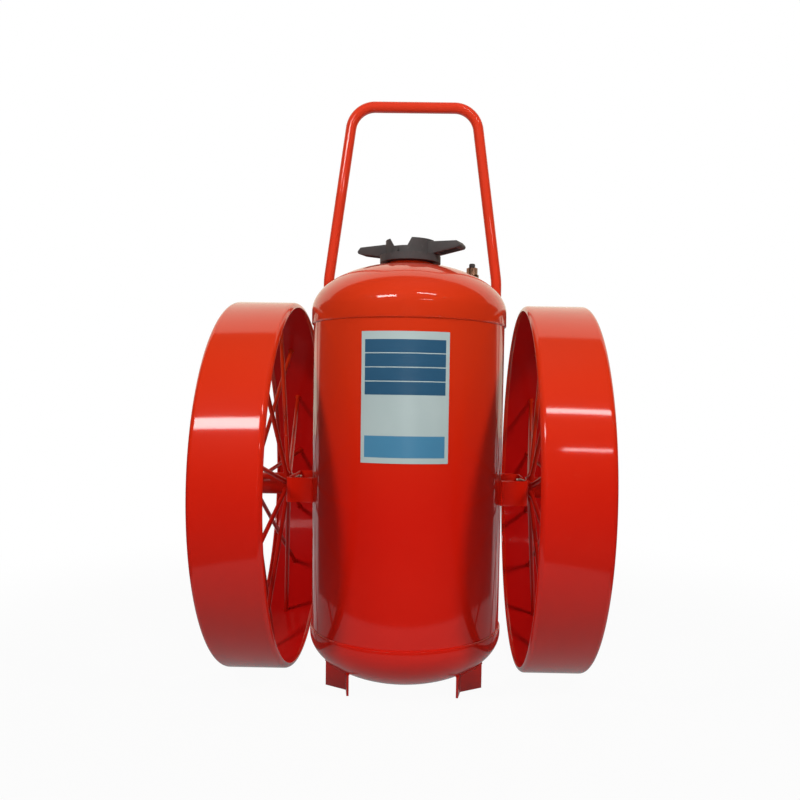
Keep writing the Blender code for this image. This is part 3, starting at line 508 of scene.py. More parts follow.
def cylinder_paint(nodes):
    """Recipe of grey hammer enamel on the gas cylinder."""
    place = nodes.place()
    cloud = nodes.noise(place, 5.0, 3.0)
    dimple = nodes.noise(place, 240.0, 2.0)
    rub = nodes.rise(nodes.noise(place, 40.0, 6.0, 0.7), 0.62, 0.74)
    tone = nodes.mix(cloud, (0.13, 0.14, 0.15), (0.18, 0.19, 0.20))
    return {
        "Base Color": nodes.mix(rub * 0.5, tone, (0.30, 0.30, 0.30)),
        "Roughness": 0.30 + rub * 0.25 + dimple * 0.08,
        "Coat Weight": 0.4 - rub * 0.3,
        "Coat Roughness": 0.12,
        "Normal": nodes.bump(dimple, 0.10, 0.001),
    }


def glass(nodes):
    """Recipe of the clear gauge lens."""
    place = nodes.place()
    return {
        "Base Color": (0.97, 0.98, 0.98),
        "Roughness": 0.02 + nodes.noise(place, 200.0) * 0.03,
        "Transmission Weight": 1.0,
        "IOR": 1.49,
    }


def dial_enamel(nodes):
    """Recipe of the white dial, faintly yellowed in patches."""
    cloud = nodes.noise(nodes.place(), 160.0, 4.0)
    return {
        "Base Color": nodes.mix(cloud, (0.82, 0.82, 0.79), (0.88, 0.87, 0.83)),
        "Roughness": 0.45 + cloud * 0.1,
    }


def printed(tone):
    """Recipe of a printed mark in one ink, slightly uneven."""
    def recipe(nodes):
        cloud = nodes.noise(nodes.place(), 300.0, 3.0)
        darker = tuple(channel * 0.8 for channel in tone)
        return {"Base Color": nodes.mix(cloud, darker, tone), "Roughness": 0.4 + cloud * 0.1}
    return recipe


def label_film(nodes):
    """Recipe of a bare instruction sheet: plain fields and rules on silvery film, with no words."""
    place = nodes.place()
    height = nodes.axes(place).out("Z")
    across = nodes.axes(place)
    grain = nodes.noise(place, 900.0, 2.0)
    cloud = nodes.noise(place, 9.0, 4.0)
    silver = nodes.mix(cloud, (0.38, 0.47, 0.47), (0.46, 0.55, 0.54))
    navy = nodes.mix(cloud, (0.020, 0.080, 0.155), (0.027, 0.100, 0.185))
    sky = nodes.mix(cloud, (0.055, 0.20, 0.34), (0.070, 0.24, 0.39))
    inside = across.within(-FIELD_HALF_WIDTH, FIELD_HALF_WIDTH)
    head = height.within(*HEAD_FIELD) * inside
    rule = height.math("PINGPONG", height - HEAD_FIELD[0], RULE_PITCH)
    rules = (RULE_HALF - rule).above(0)
    foot = height.within(*FOOT_FIELD) * inside
    tone = nodes.mix(head * (1 - rules), silver, navy)
    tone = nodes.mix(foot, tone, sky)
    return {
        "Base Color": tone,
        "Roughness": 0.28 + grain * 0.10,
        "Coat Weight": 0.3 + cloud * 0.2,
        "Coat Roughness": 0.1,
        "Normal": nodes.bump(grain, 0.03, 0.0004),
    }


RED = finish("red_enamel", enamel((0.58, 0.006, 0.0015), (0.67, 0.012, 0.003), 0.3, 0.08))
BAND_RED = finish("band_enamel", band_enamel)
TUBE_RED = finish("tube_enamel", tube_enamel)
SPOKE_RED = finish("spoke_enamel", spoke_enamel)
BLACK = finish("black_moulding", moulding)
BRASS = finish("aged_brass", metal((0.26, 0.12, 0.07), (0.44, 0.24, 0.15), 0.32, (1, 1, 14)))
BRONZE = finish("bush_bronze", metal((0.30, 0.16, 0.07), (0.45, 0.27, 0.11), 0.38, (14, 1, 1)))
STEEL = finish("plated_steel", metal((0.42, 0.42, 0.41), (0.62, 0.62, 0.60), 0.28, (1, 9, 9)))
RUBBER = finish("gasket_rubber", rubber)
GREY = finish("cylinder_grey", cylinder_paint)
GLASS = finish("gauge_glass", glass)
DIAL = finish("dial_white", dial_enamel)
INK = finish("dial_ink", printed((0.02, 0.02, 0.02)))
LABEL = finish("label_film", label_film)


# Modelling helpers
def deselect():
    """Leave nothing selected, in object mode."""
    if bpy.context.mode != "OBJECT":
        bpy.ops.object.mode_set(mode="OBJECT")
    bpy.ops.object.select_all(action="DESELECT")


def pick(piece):
    """Select one piece and make it active."""
    deselect()
    piece.select_set(True)
    bpy.context.view_layer.objects.active = piece


def soften(piece, width, segments=3):
    """Round the piece's edges and shade it smooth between them."""
    pick(piece)
    if width:
        rounding = piece.modifiers.new("rounded_edges", "BEVEL")
        rounding.width = width
        rounding.segments = segments
        rounding.limit_method = "ANGLE"
        rounding.angle_limit = EDGE_ANGLE
        bpy.ops.object.modifier_apply(modifier=rounding.name)
    bpy.ops.object.shade_smooth_by_angle(angle=EDGE_ANGLE)
    return piece


def edit_all():
    """Go into edit mode with everything selected."""
    bpy.ops.object.mode_set(mode="EDIT")
    bpy.ops.mesh.select_all(action="SELECT")


def close_mesh(piece):
    """Merge doubled points and turn the faces outwards."""
    pick(piece)
    edit_all()
    bpy.ops.mesh.remove_doubles(threshold=MERGE)
    bpy.ops.mesh.normals_make_consistent(inside=False)
    bpy.ops.object.mode_set(mode="OBJECT")


def across_from(along):
    """A direction square to an axis."""
    return X if abs(along.z) > 0.5 else Z


def drawn(name, points):
    """A line of edges extruded from one point to the next, left in edit mode."""
    deselect()
    bpy.ops.mesh.primitive_plane_add(size=1)
    piece = bpy.context.object
    piece.name = name
    edit_all()
    bpy.ops.mesh.merge(type="CENTER")
    bpy.ops.transform.translate(value=points[0])
    for before, after in zip(points, points[1:]):
        bpy.ops.mesh.extrude_region_move(TRANSFORM_OT_translate={"value": after - before})
    bpy.ops.mesh.select_all(action="SELECT")
    return piece


def lathe(name, profile, centre, along=Z, width=0.0, steps=ROUND_STEPS):
    """Spin a line of (radius, height) points round an axis; a line off the axis is closed first."""
    if profile[0][0] > 0:
        profile = profile + profile[:1]
    out = across_from(along)
    points = [centre + out * radius + along * height for radius, height in profile]
    piece = drawn(name, points)
    bpy.ops.mesh.spin(steps=steps, angle=math.tau, center=centre, axis=along)
    close_mesh(piece)
    return soften(piece, width)


def prism(name, corners, sweep):
    """A flat outline swept straight along a line."""
    piece = drawn(name, corners)
    bpy.ops.mesh.edge_face_add()
    bpy.ops.mesh.extrude_region_move(TRANSFORM_OT_translate={"value": sweep})
    close_mesh(piece)
    return piece


def cut(piece, tool):
    """Take one shape out of another."""
    pick(piece)
    change = piece.modifiers.new("cut", "BOOLEAN")
    change.operation = "DIFFERENCE"
    change.solver = "EXACT"
    change.object = tool
    bpy.ops.object.modifier_apply(modifier=change.name)
    pick(tool)
    bpy.ops.object.delete()


def arc(centre, radii, start, end, steps):
    """Points of an elliptic arc, angles in degrees."""
    spread = [math.radians(start + (end - start) * step / steps) for step in range(steps + 1)]
    return [(centre[0] + radii[0] * math.cos(a), centre[1] + radii[1] * math.sin(a)) for a in spread]


def oblong(inner, outer, low, high):
    """Profile of a plain ring, or of a rod where the inner radius is nothing."""
    return [(inner, low), (outer, low), (outer, high), (inner, high)]


def rounded_path(points, radius, steps=12):
    """A path whose inner corners are arcs of one radius."""
    path = [points[0]]
    for before, corner, after in zip(points, points[1:], points[2:]):
        back = (before - corner).normalized()
        ahead = (after - corner).normalized()
        half = back.angle(ahead) / 2
        centre = corner + (back + ahead).normalized() * radius / math.sin(half)
        first = corner + back * radius / math.tan(half) - centre
        last = corner + ahead * radius / math.tan(half) - centre
        sweep = first.angle(last)
        for step in range(steps + 1):
            share = step / steps
            turned = first * math.sin((1 - share) * sweep) + last * math.sin(share * sweep)
            path.append(centre + turned / math.sin(sweep))
    return path + [points[-1]]


def tube(name, path, radius, closed=False, swell=0.0, sides=TUBE_SIDES):
    """A round rod along a path, its thickness rippling by the swell."""
    deselect()
    bpy.ops.curve.primitive_nurbs_path_add()
    line = bpy.context.object
    line.name = name
    line.data.splines.clear()
    line.data.dimensions = "3D"
    line.data.bevel_depth = radius
    line.data.bevel_resolution = sides
    line.data.use_fill_caps = not closed
    spline = line.data.splines.new("POLY")
    spline.points.add(len(path) - 1)
    spline.use_cyclic_u = closed
    for index, (point, at) in enumerate(zip(spline.points, path)):
        point.co = (*at, 1)
        point.radius = 1 + swell * math.sin(index * BEAD_TURN)
    pick(line)
    bpy.ops.object.convert(target="MESH")
    piece = bpy.context.object
    close_mesh(piece)
    return soften(piece, 0.0)


def bead(name, corners, size, closed=False):
    """A hand-laid weld along a line of corners, with its ripples."""
    path = []
    ends = list(zip(corners, corners[1:] + corners[:1]))
    for start, stop in ends if closed else ends[:-1]:
        count = max(1, round((stop - start).length / BEAD_PITCH))
        path += [start.lerp(stop, step / count) for step in range(count)]
    if not closed:
        path.append(corners[-1])
    return tube(name, path, size, closed, BEAD_SWELL, BEAD_SIDES)


def ring_bead(name, centre, radius, size):
    """A hand-laid weld round an upright axis."""
    corners = [centre + Vector((x, y, 0)) for x, y in arc((0, 0), (radius, radius), 0, 355, 71)]
    return bead(name, corners, size, True)


def joined(name, pieces):
    """Several pieces as one object."""
    pick(pieces[0])
    for piece in pieces:
        piece.select_set(True)
    bpy.ops.object.join()
    piece = bpy.context.object
    piece.name = name
    return piece


def softened(name, node, width, material, body="chassis"):
    """A dressed copy of a plain solid, its triangles joined and its edges rounded."""
    piece = bpy.data.objects.new(name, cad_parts[node].data.copy())
    bpy.context.scene.collection.objects.link(piece)
    pick(piece)
    bpy.ops.mesh.customdata_custom_splitnormals_clear()
    edit_all()
    bpy.ops.mesh.remove_doubles(threshold=MERGE)
    bpy.ops.mesh.dissolve_limited(angle_limit=FLAT_ANGLE)
    bpy.ops.object.mode_set(mode="OBJECT")
    return dress(soften(piece, width, COPY_SEGMENTS), material, node, body=body)


def hexagon(name, seat, along, across, height, width):
    """A hexagon standing on a seat, its edges rounded."""
    deselect()
    turn = along.to_track_quat("Z", "Y").to_euler()
    bpy.ops.mesh.primitive_cylinder_add(vertices=6, radius=across / math.sqrt(3), depth=height,
                                        location=seat + along * height / 2, rotation=turn)
    piece = bpy.context.object
    piece.name = name
    bpy.ops.object.transform_apply()
    return soften(piece, width)


def bolt(name, seat, along, size):
    """A washer, a hexagon head and the end of the screw, in shares of the bolt's size."""
    outline = oblong(0, size, 0, size * 0.16)
    washer = lathe(name + "_washer", outline, seat, along, size * 0.05, SMALL_STEPS)
    head = hexagon(name + "_head", seat + along * size * 0.14, along, size * 1.5, size * 0.62, size * 0.08)
    point = [(0, size * 0.6), (size * 0.42, size * 0.6), (size * 0.42, size * 1.0), (0, size * 1.1)]
    end = lathe(name + "_end", point, seat, along, size * 0.05, SMALL_STEPS)
    return joined(name, [washer, head, end])


def paint(piece, material):
    """Leave a piece with one finish."""
    piece.data.materials.clear()
    piece.data.materials.append(material)


def dress(piece, material, *nodes, body="chassis"):
    """Give a piece its finish and its body, and hide the solids it stands for."""
    paint(piece, material)
    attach(piece, body)
    if nodes:
        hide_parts(*nodes)
    return piece


def bolt_pair(name, places, size):
    """Two bolts that point backwards, as one piece."""
    return dress(joined(name + "s", [bolt(name, at, Y, size) for at in places]), STEEL)


def middle(node):
    """Centre of a solid's box."""
    low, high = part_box(node)
    return (low + high) / 2


def half_size(node):
    """Half the size of a solid's box."""
    low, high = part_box(node)
    return (high - low) / 2


# Places read from the frame
TANK_AXIS = Vector((0, middle("tank_wall").y, 0))
WALL_RADIUS = half_size("tank_wall").x
HEAD_RADIUS = half_size("top_head").x
TOP_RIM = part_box("top_head")[0].z
TOP_TANGENT = TOP_RIM + TOP_SKIRT
BOTTOM_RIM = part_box("bottom_head")[1].z
BOTTOM_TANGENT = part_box("bottom_head")[0].z + HEAD_DEPTH
BAND_RADIUS = half_size("right_wheel_band").z
BAND_HALF = half_size("right_wheel_band").x
BAND_INSIDE = BAND_RADIUS - BAND_SHEET


def dome(distance):
    """Depth of a head past its tangent line, at a distance from the tank's axis."""
    return HEAD_DEPTH * math.sqrt(1 - (distance / HEAD_RADIUS) ** 2)


def make_tank():
    """Rolled wall, the two lapped heads with their seam welds, and the filling neck."""
    low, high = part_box("tank_wall")
    outline = oblong(WALL_RADIUS - WALL_SHEET, WALL_RADIUS, low.z, high.z)
    dress(lathe("rolled_wall", outline, TANK_AXIS, steps=TANK_STEPS), RED, "tank_wall")

    lap = HEAD_RADIUS - SHELL
    crown = math.degrees(math.acos(NECK_BORE / HEAD_RADIUS))
    outline = [(HEAD_RADIUS, TOP_RIM)]
    outline += arc((0, TOP_TANGENT), (HEAD_RADIUS, HEAD_DEPTH), 0, crown, HEAD_STEPS)
    crown = math.degrees(math.acos(NECK_BORE / lap))
    outline += arc((0, TOP_TANGENT), (lap, HEAD_DEPTH - SHELL), crown, 0, LINING_STEPS) + [(lap, TOP_RIM)]
    dress(lathe("top_dome", outline, TANK_AXIS, Z, BLUNT_EDGE, TANK_STEPS), RED, "top_head")

    outline = arc((0, BOTTOM_TANGENT), (HEAD_RADIUS, -HEAD_DEPTH), 90, 0, HEAD_STEPS)
    outline += [(HEAD_RADIUS, BOTTOM_RIM), (lap, BOTTOM_RIM)]
    outline += arc((0, BOTTOM_TANGENT), (lap, SHELL - HEAD_DEPTH), 0, 90, LINING_STEPS)
    outline[0] = (0, outline[0][1])
    outline[-1] = (0, outline[-1][1])
    dress(lathe("bottom_dome", outline, TANK_AXIS, Z, BLUNT_EDGE, TANK_STEPS), RED, "bottom_head")

    for name, rim in (("top_seam_weld", TOP_RIM - SEAM_DROP), ("bottom_seam_weld", BOTTOM_RIM + SEAM_DROP)):
        dress(ring_bead(name, TANK_AXIS + Z * rim, WALL_RADIUS + SEAM_SEAT, SEAM_BEAD), RED)

    radius = half_size("neck_collar").x
    low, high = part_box("neck_collar")
    lip = high.z
    seat = TOP_TANGENT + dome(radius)
    shoulder = seat + COLLAR_SHOULDER
    outline = [(NECK_BORE, low.z), (radius, low.z), (radius, shoulder)]
    turns = int((lip - shoulder) / THREAD_PITCH)
    for turn in range(turns):
        start = shoulder + turn * THREAD_PITCH
        outline += [(THREAD_RADIUS - THREAD_DEPTH, start), (THREAD_RADIUS, start + THREAD_PITCH / 2)]
    outline += [(THREAD_RADIUS - THREAD_DEPTH, lip), (NECK_BORE, lip)]
    dress(lathe("filling_neck", outline, TANK_AXIS, Z, FINE_EDGE, TANK_STEPS), RED, "neck_collar")
    level = TANK_AXIS + Z * (seat + BEAD_SEAT / 2)
    dress(ring_bead("neck_weld", level, radius + BEAD_SEAT, NECK_BEAD), RED)


def make_label():
    """Curved sheet on the front of the wall."""
    radius = WALL_RADIUS + LABEL_LIFT
    half = math.asin(LABEL_HALF_WIDTH / radius)
    edge = Vector((math.sin(half), -math.cos(half), 0)) * radius
    sheet = drawn("label_sheet", [TANK_AXIS + edge + Z * LABEL_LOW, TANK_AXIS + edge + Z * LABEL_HIGH])
    bpy.ops.mesh.spin(steps=LABEL_STEPS, angle=2 * half, center=TANK_AXIS, axis=Z)
    close_mesh(sheet)
    thick = sheet.modifiers.new("film", "SOLIDIFY")
    thick.thickness = LABEL_THICKNESS
    thick.offset = 1
    bpy.ops.object.modifier_apply(modifier=thick.name)
    soften(sheet, 0.0)
    dress(sheet, LABEL)


def make_cap():
    """Winged screw cap: round tower with a bar slot and a vent hole, on a skirt, with two wings."""
    low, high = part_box("fill_cap")
    ceiling = low.z + CAP_OVERHANG
    shoulder = low.z + CAP_SKIRT_HEIGHT
    cavity = THREAD_RADIUS + CAP_CLEARANCE
    outline = [(0, high.z), (CAP_TOWER, high.z), (CAP_TOWER, shoulder + CAP_FILLET),
               (CAP_TOWER + CAP_FILLET, shoulder), (CAP_SKIRT, shoulder), (CAP_SKIRT, low.z),
               (cavity, low.z), (cavity, ceiling), (0, ceiling)]
    body = lathe("cap_body", outline, TANK_AXIS, steps=FINE_STEPS)
    bottom = high.z - SLOT_DEPTH
    mouth = high.z + SLOT_EXCESS
    slot = [(SLOT_MIDDLE - SLOT_FOOT, bottom), (SLOT_MIDDLE + SLOT_FOOT, bottom),
            (SLOT_MIDDLE + SLOT_MOUTH, mouth), (SLOT_MIDDLE - SLOT_MOUTH, mouth)]
    start = TANK_AXIS.y - 2 * CAP_TOWER
    cut(body, prism("slot_cutter", [Vector((x, start, z)) for x, z in slot], Y * 4 * CAP_TOWER))
    soften(body, CAP_EDGE)
    outline = oblong(0, VENT_RADIUS, VENT_START, VENT_STOP)
    centre = TANK_AXIS + Vector((VENT_SIDE, 0, VENT_HEIGHT))
    cut(body, lathe("vent_cutter", outline, centre, Y, steps=SMALL_STEPS))
    pieces = [body] + [wing(side, shoulder) for side in (-1, 1)]
    dress(joined("winged_cap", pieces), BLACK, "fill_cap", body="cap")


def wing(side, shoulder):
    """One wing of the cap, tapering to a chamfered tip and hollow underneath."""
    along = Vector((math.cos(CAP_TURN), math.sin(CAP_TURN), 0)) * side
    across = Z.cross(along)
    base = shoulder - WING_SINK
    tip = base + (WING_ROOT - WING_TIP) * WING_DROP_SHARE
    root = CAP_TOWER - WING_OVERLAP
    outline = [(root, base), (WING_REACH - WING_NOSE, tip), (WING_REACH, tip + WING_NOSE_RISE),
               (WING_REACH, tip + WING_TIP - WING_CHAMFER_DROP),
               (WING_REACH - WING_CHAMFER, tip + WING_TIP), (root, base + WING_ROOT)]
    corner = TANK_AXIS - across * WING_WIDTH / 2
    body = prism("cap_wing", [corner + along * x + Z * z for x, z in outline], across * WING_WIDTH)
    roof = tip + WING_TIP - WING_SHELL
    below = base - WING_CUT_BELOW
    hollow = [(CAP_SKIRT + WING_SHELL, below), (WING_REACH - 2 * WING_SHELL, below),
              (WING_REACH - 2 * WING_SHELL, roof - WING_ROOF_FALL), (CAP_SKIRT + WING_SHELL, roof)]
    inset = WING_WIDTH / 2 - WING_SHELL
    corner = TANK_AXIS - across * inset
    cut(body, prism("wing_cutter", [corner + along * x + Z * z for x, z in hollow], across * 2 * inset))
    return soften(body, WING_EDGE)


def make_feet():
    """Two bent plates welded under the front of the tank."""
    for name, side in SIDES:
        softened(name + "_foot_plate", name + "_foot", PLATE_EDGE, RED)
        corners = []
        for start, stop in zip(FOOT_PLAN, FOOT_PLAN[1:]):
            for step in range(CORNER_STEPS + 1):
                x, y = start.lerp(stop, step / CORNER_STEPS)
                height = BOTTOM_TANGENT - dome(math.hypot(x, y - TANK_AXIS.y))
                corners.append(Vector((side * x, y, height - BEAD_SEAT)))
        dress(bead(name + "_foot_weld", corners, FOOT_BEAD), RED)


def make_wheel(name, side):
    """Band, and hub with its two rings of welded spokes and its bushes."""
    centre = Vector((side * WHEEL_MIDDLE, 0, AXLE))
    flat = BAND_HALF - BAND_SHOULDER
    level = BAND_RADIUS - BAND_SHOULDER
    outer = BAND_SHOULDER
    inner = BAND_SHOULDER - BAND_SHEET
    outline = arc((level, -flat), (outer, -outer), 90, 0, CORNER_STEPS)
    outline += arc((level, flat), (outer, outer), 0, 90, CORNER_STEPS)
    outline += arc((level, flat), (inner, inner), 90, 0, LIP_STEPS)
    outline += arc((level, -flat), (inner, -inner), 0, 90, LIP_STEPS)
    band = lathe(name + "_band", outline, centre - X * side * BAND_INSET, X, BLUNT_EDGE, BAND_STEPS)
    dress(band, BAND_RED, name + "_wheel_band", body=name + "_wheel")

    outline = oblong(HUB_BORE, HUB_RADIUS, -HUB_HALF, HUB_HALF)
    pieces = [lathe(name + "_hub", outline, centre, X, HUB_EDGE)]
    for outward in (-1, 1):
        for index in range(SPOKES_PER_END):
            angle = FIRST_SPOKE[outward] + index * math.tau / SPOKES_PER_END
            ray = Vector((0, math.sin(angle), math.cos(angle)))
            start = centre + ray * SPOKE_FOOT + X * side * outward * SPOKE_END
            stop = centre + ray * BAND_INSIDE
            pieces.append(spoke(name + "_spoke", start, stop))
    wheel = joined(name + "_spoked_hub", pieces)
    dress(wheel, SPOKE_RED, name + "_inner_spider", name + "_outer_spider", body=name + "_wheel")
    for end in ("inner", "outer"):
        paint(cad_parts[f"{name}_{end}_bush"], BRONZE)


def spoke(name, start, stop):
    """One rod with a welded foot at each end."""
    along = (stop - start).normalized()
    length = (stop - start).length
    thick = SPOKE_RADIUS * WELD_FLARE
    outline = [(0, 0), (thick, 0), (thick, SPOKE_WELD), (SPOKE_RADIUS, SPOKE_WELD * 1.8)]
    outline += [(SPOKE_RADIUS, length - SPOKE_WELD * 0.8), (thick, length - SPOKE_WELD * 0.1),
                (thick, length), (0, length)]
    piece = lathe(name, outline, Vector((0, 0, 0)), Z, 0.0, SPOKE_STEPS)
    piece.matrix_world = Matrix.Translation(start) @ along.to_track_quat("Z", "Y").to_matrix().to_4x4()
    pick(piece)
    bpy.ops.object.transform_apply()
    return piece


def reach_from_middle(node):
    """How far a solid starts and ends from the middle plane, whichever side it is on."""
    low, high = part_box(node)
    return sorted((abs(low.x), abs(high.x)))


def make_axle(name, side):
    """Axle stub, spacer, washer and nut."""
    along = X * side
    line = Vector((0, 0, AXLE))
    near, far = reach_from_middle(name + "_axle")
    head = half_size(name + "_axle").z
    flange = near + AXLE_FLANGE
    bottom = far - CENTRE_DEPTH
    outline = [(0, near), (head - AXLE_CHAMFER, near), (head, near + AXLE_CHAMFER), (head, flange),
               (AXLE_RADIUS, flange), (AXLE_RADIUS, far - AXLE_TIP), (AXLE_RADIUS - AXLE_TIP, far),
               (CENTRE_HOLE, far), (CENTRE_HOLE / 2, bottom), (0, bottom)]
    dress(lathe(name + "_axle_stub", outline, line, along, HAIR_EDGE), STEEL, name + "_axle")
    for label, material in (("spacer", BLACK), ("outer_washer", STEEL)):
        node = f"{name}_{label}"
        near, far = reach_from_middle(node)
        outline = oblong(AXLE_BORE, half_size(node).z, near, far)
        ring = lathe(node + "_ring", outline, line, along, TURNED_EDGE)
        dress(ring, material, node)
    softened(name + "_hex_nut", name + "_axle_nut", BLUNT_EDGE, STEEL)


def make_bracket(name, side):
    """Bent axle bracket with its welds to the wall, and the handle clamp with its bolts."""
    softened(name + "_bracket_plate", name + "_axle_bracket", PLATE_EDGE, RED)
    low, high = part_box(name + "_axle_bracket")
    welds = []
    for label, face in (("front", low.y - BRACKET_WELD_OUT), ("back", high.y + BRACKET_WELD_OUT)):
        ahead = face - TANK_AXIS.y
        x = side * (math.sqrt((WALL_RADIUS + BEAD_SEAT) ** 2 - ahead ** 2) + BEAD_SEAT)
        ends = [Vector((x, face, low.z + BRACKET_WELD_END)), Vector((x, face, high.z - BRACKET_WELD_END))]
        welds.append(bead(f"{name}_{label}_weld", ends, PLATE_BEAD))
    dress(joined(name + "_bracket_welds", welds), RED)

    softened(name + "_clamp_strap", name + "_handle_clamp", FINE_EDGE, STEEL)
    centre = middle(name + "_handle_clamp")
    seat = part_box(name + "_handle_clamp")[0].y + CLAMP_PLATE
    places = [Vector((centre.x + step * CLAMP_BOLT, seat, centre.z)) for step in (-1, 1)]
    bolt_pair(name + "_clamp_bolt", places, CLAMP_BOLT_SIZE)


def make_handle():
    """Bent tube handle."""
    low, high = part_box("handle_tube")
    y = middle("handle_tube").y
    leg = high.x - HANDLE_RADIUS
    top = high.z - HANDLE_RADIUS
    right = [Vector((leg, y, low.z)), Vector((leg, y, HANDLE_KNEE)), Vector((HANDLE_TOP_HALF, y, top))]
    left = [Vector((-at.x, at.y, at.z)) for at in reversed(right)]
    rising = rounded_path(right, KNEE_BEND)
    falling = rounded_path(left, KNEE_BEND)
    grip = rounded_path([rising[-2], right[2], left[0], falling[1]], GRIP_BEND, BEND_STEPS)
    handle = tube("bent_handle", rising[:-1] + grip[1:-1] + falling[1:], HANDLE_RADIUS)
    dress(handle, TUBE_RED, "handle_tube")


def make_relief():
    """Brass relief valve on the dome, with its black pull stem."""
    softened("relief_valve", "relief_body", TURNED_EDGE, BRASS)
    softened("relief_pull", "relief_stem", FINE_EDGE, BLACK, "relief")


def make_carrier():
    """Shelf, saddle and strap of the gas cylinder, with welds and bolts."""
    softened("shelf_plate", "cylinder_shelf", BLUNT_EDGE, RED)
    softened("saddle_block", "cylinder_saddle", BLUNT_EDGE, RED)
    softened("strap_band", "cylinder_strap", THIN_EDGE, STEEL)
    shelf_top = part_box("cylinder_shelf")[1].z
    low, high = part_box("cylinder_saddle")
    seams = [(SHELF_HALF, shelf_top - drop) for drop in SHELF_WELDS]
    seams += [(SADDLE_HALF, low.z - BEAD_SEAT), (SADDLE_HALF, high.z + BEAD_SEAT)]
    radius = WALL_RADIUS + BEAD_SEAT
    welds = []
    for half, level in seams:
        spread = math.degrees(math.asin(half / WALL_RADIUS))
        seam = arc((0, TANK_AXIS.y), (radius, radius), 90 - spread, 90 + spread, LINING_STEPS)
        welds.append(bead("carrier_weld", [Vector((x, y, level)) for x, y in seam], PLATE_BEAD))
    dress(joined("carrier_welds", welds), RED)
    low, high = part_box("cylinder_strap")
    out = high.x - STRAP_BOLT_INSET
    places = [Vector((side * out, low.y + STRAP_PLATE, (low.z + high.z) / 2)) for side in (-1, 1)]
    bolt_pair("strap_bolt", places, STRAP_BOLT_SIZE)


def make_cylinder():
    """Gas cylinder with a rounded base, a shoulder and a neck ring."""
    low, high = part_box("nitrogen_cylinder")
    centre = middle("nitrogen_cylinder")
    centre = Vector((centre.x, centre.y, 0))
    radius = half_size("nitrogen_cylinder").x
    neck = high.z - CYLINDER_NECK
    shoulder = neck - CYLINDER_SHOULDER
    edge = CYLINDER_EDGE
    ring = NECK_RADIUS + NECK_RING
    ring_top = neck + NECK_RING_HEIGHT
    outline = [(0, low.z + DISH_RISE), (radius * DISH_SHARE, low.z + DISH_EDGE)]
    outline += arc((radius - edge, low.z + edge), (edge, edge), -90, 0, CORNER_STEPS)
    outline += arc((NECK_RADIUS, shoulder), (radius - NECK_RADIUS, CYLINDER_SHOULDER), 0, 88, BEND_STEPS)
    outline += [(ring, neck), (ring, ring_top), (NECK_RADIUS, ring_top + NECK_RING_SLOPE),
                (NECK_RADIUS, high.z), (0, high.z)]
    flask = lathe("gas_cylinder", outline, centre, Z, TURNED_EDGE, FINE_STEPS)
    dress(flask, GREY, "nitrogen_cylinder")


def make_valve():
    """Brass cylinder valve with its hexagon, tang and side port, the lever's rivet and the lever."""
    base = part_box("nitrogen_cylinder")[1].z + VALVE_GAP
    axis = Vector((0, middle("nitrogen_cylinder").y, 0))
    top = base + VALVE_HEIGHT
    outline = [(radius, base + height) for radius, height in VALVE_PROFILE]
    pieces = [lathe("valve_barrel", outline, axis, Z, VALVE_EDGE)]
    seat = axis + Z * (base + VALVE_HEX_RISE)
    pieces.append(hexagon("valve_hexagon", seat, Z, VALVE_HEX, VALVE_HEX_HEIGHT, PLATE_EDGE))
    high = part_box("valve_body")[1].z
    half = TANG_HALF
    low = top - TANG_SINK
    side = high - TANG_SHOULDER
    tang = [(-half, low), (half, low), (half, side)]
    tang += arc((0, high - half), (half, half), 20, 160, TANG_STEPS) + [(-half, side)]
    corners = [axis + Vector((x, -TANG_THICKNESS / 2, z)) for x, z in tang]
    pieces.append(soften(prism("valve_tang", corners, Y * TANG_THICKNESS), FINE_EDGE))
    port = axis + Z * (base + VALVE_HEIGHT / 2)
    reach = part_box("valve_body")[1].x
    outline = oblong(0, PORT_RADIUS, 0, reach)
    pieces.append(lathe("valve_port", outline, port, X, FINE_EDGE, SMALL_STEPS))
    seat = port + X * (reach - PORT_HEX_BACK)
    pieces.append(hexagon("port_nut", seat, X, PORT_HEX, PORT_HEX_HEIGHT, NUT_EDGE))
    dress(joined("gas_valve", pieces), BRASS, "valve_body")

    half = half_size("lever_pin").y
    outline = oblong(0, RIVET_RADIUS, -half, half)
    rivet = lathe("lever_rivet", outline, middle("lever_pin"), Y, TURNED_EDGE, SMALL_STEPS)
    dress(rivet, STEEL, "lever_pin")
    softened("opening_lever", "valve_lever", BLUNT_EDGE, RED, "lever")


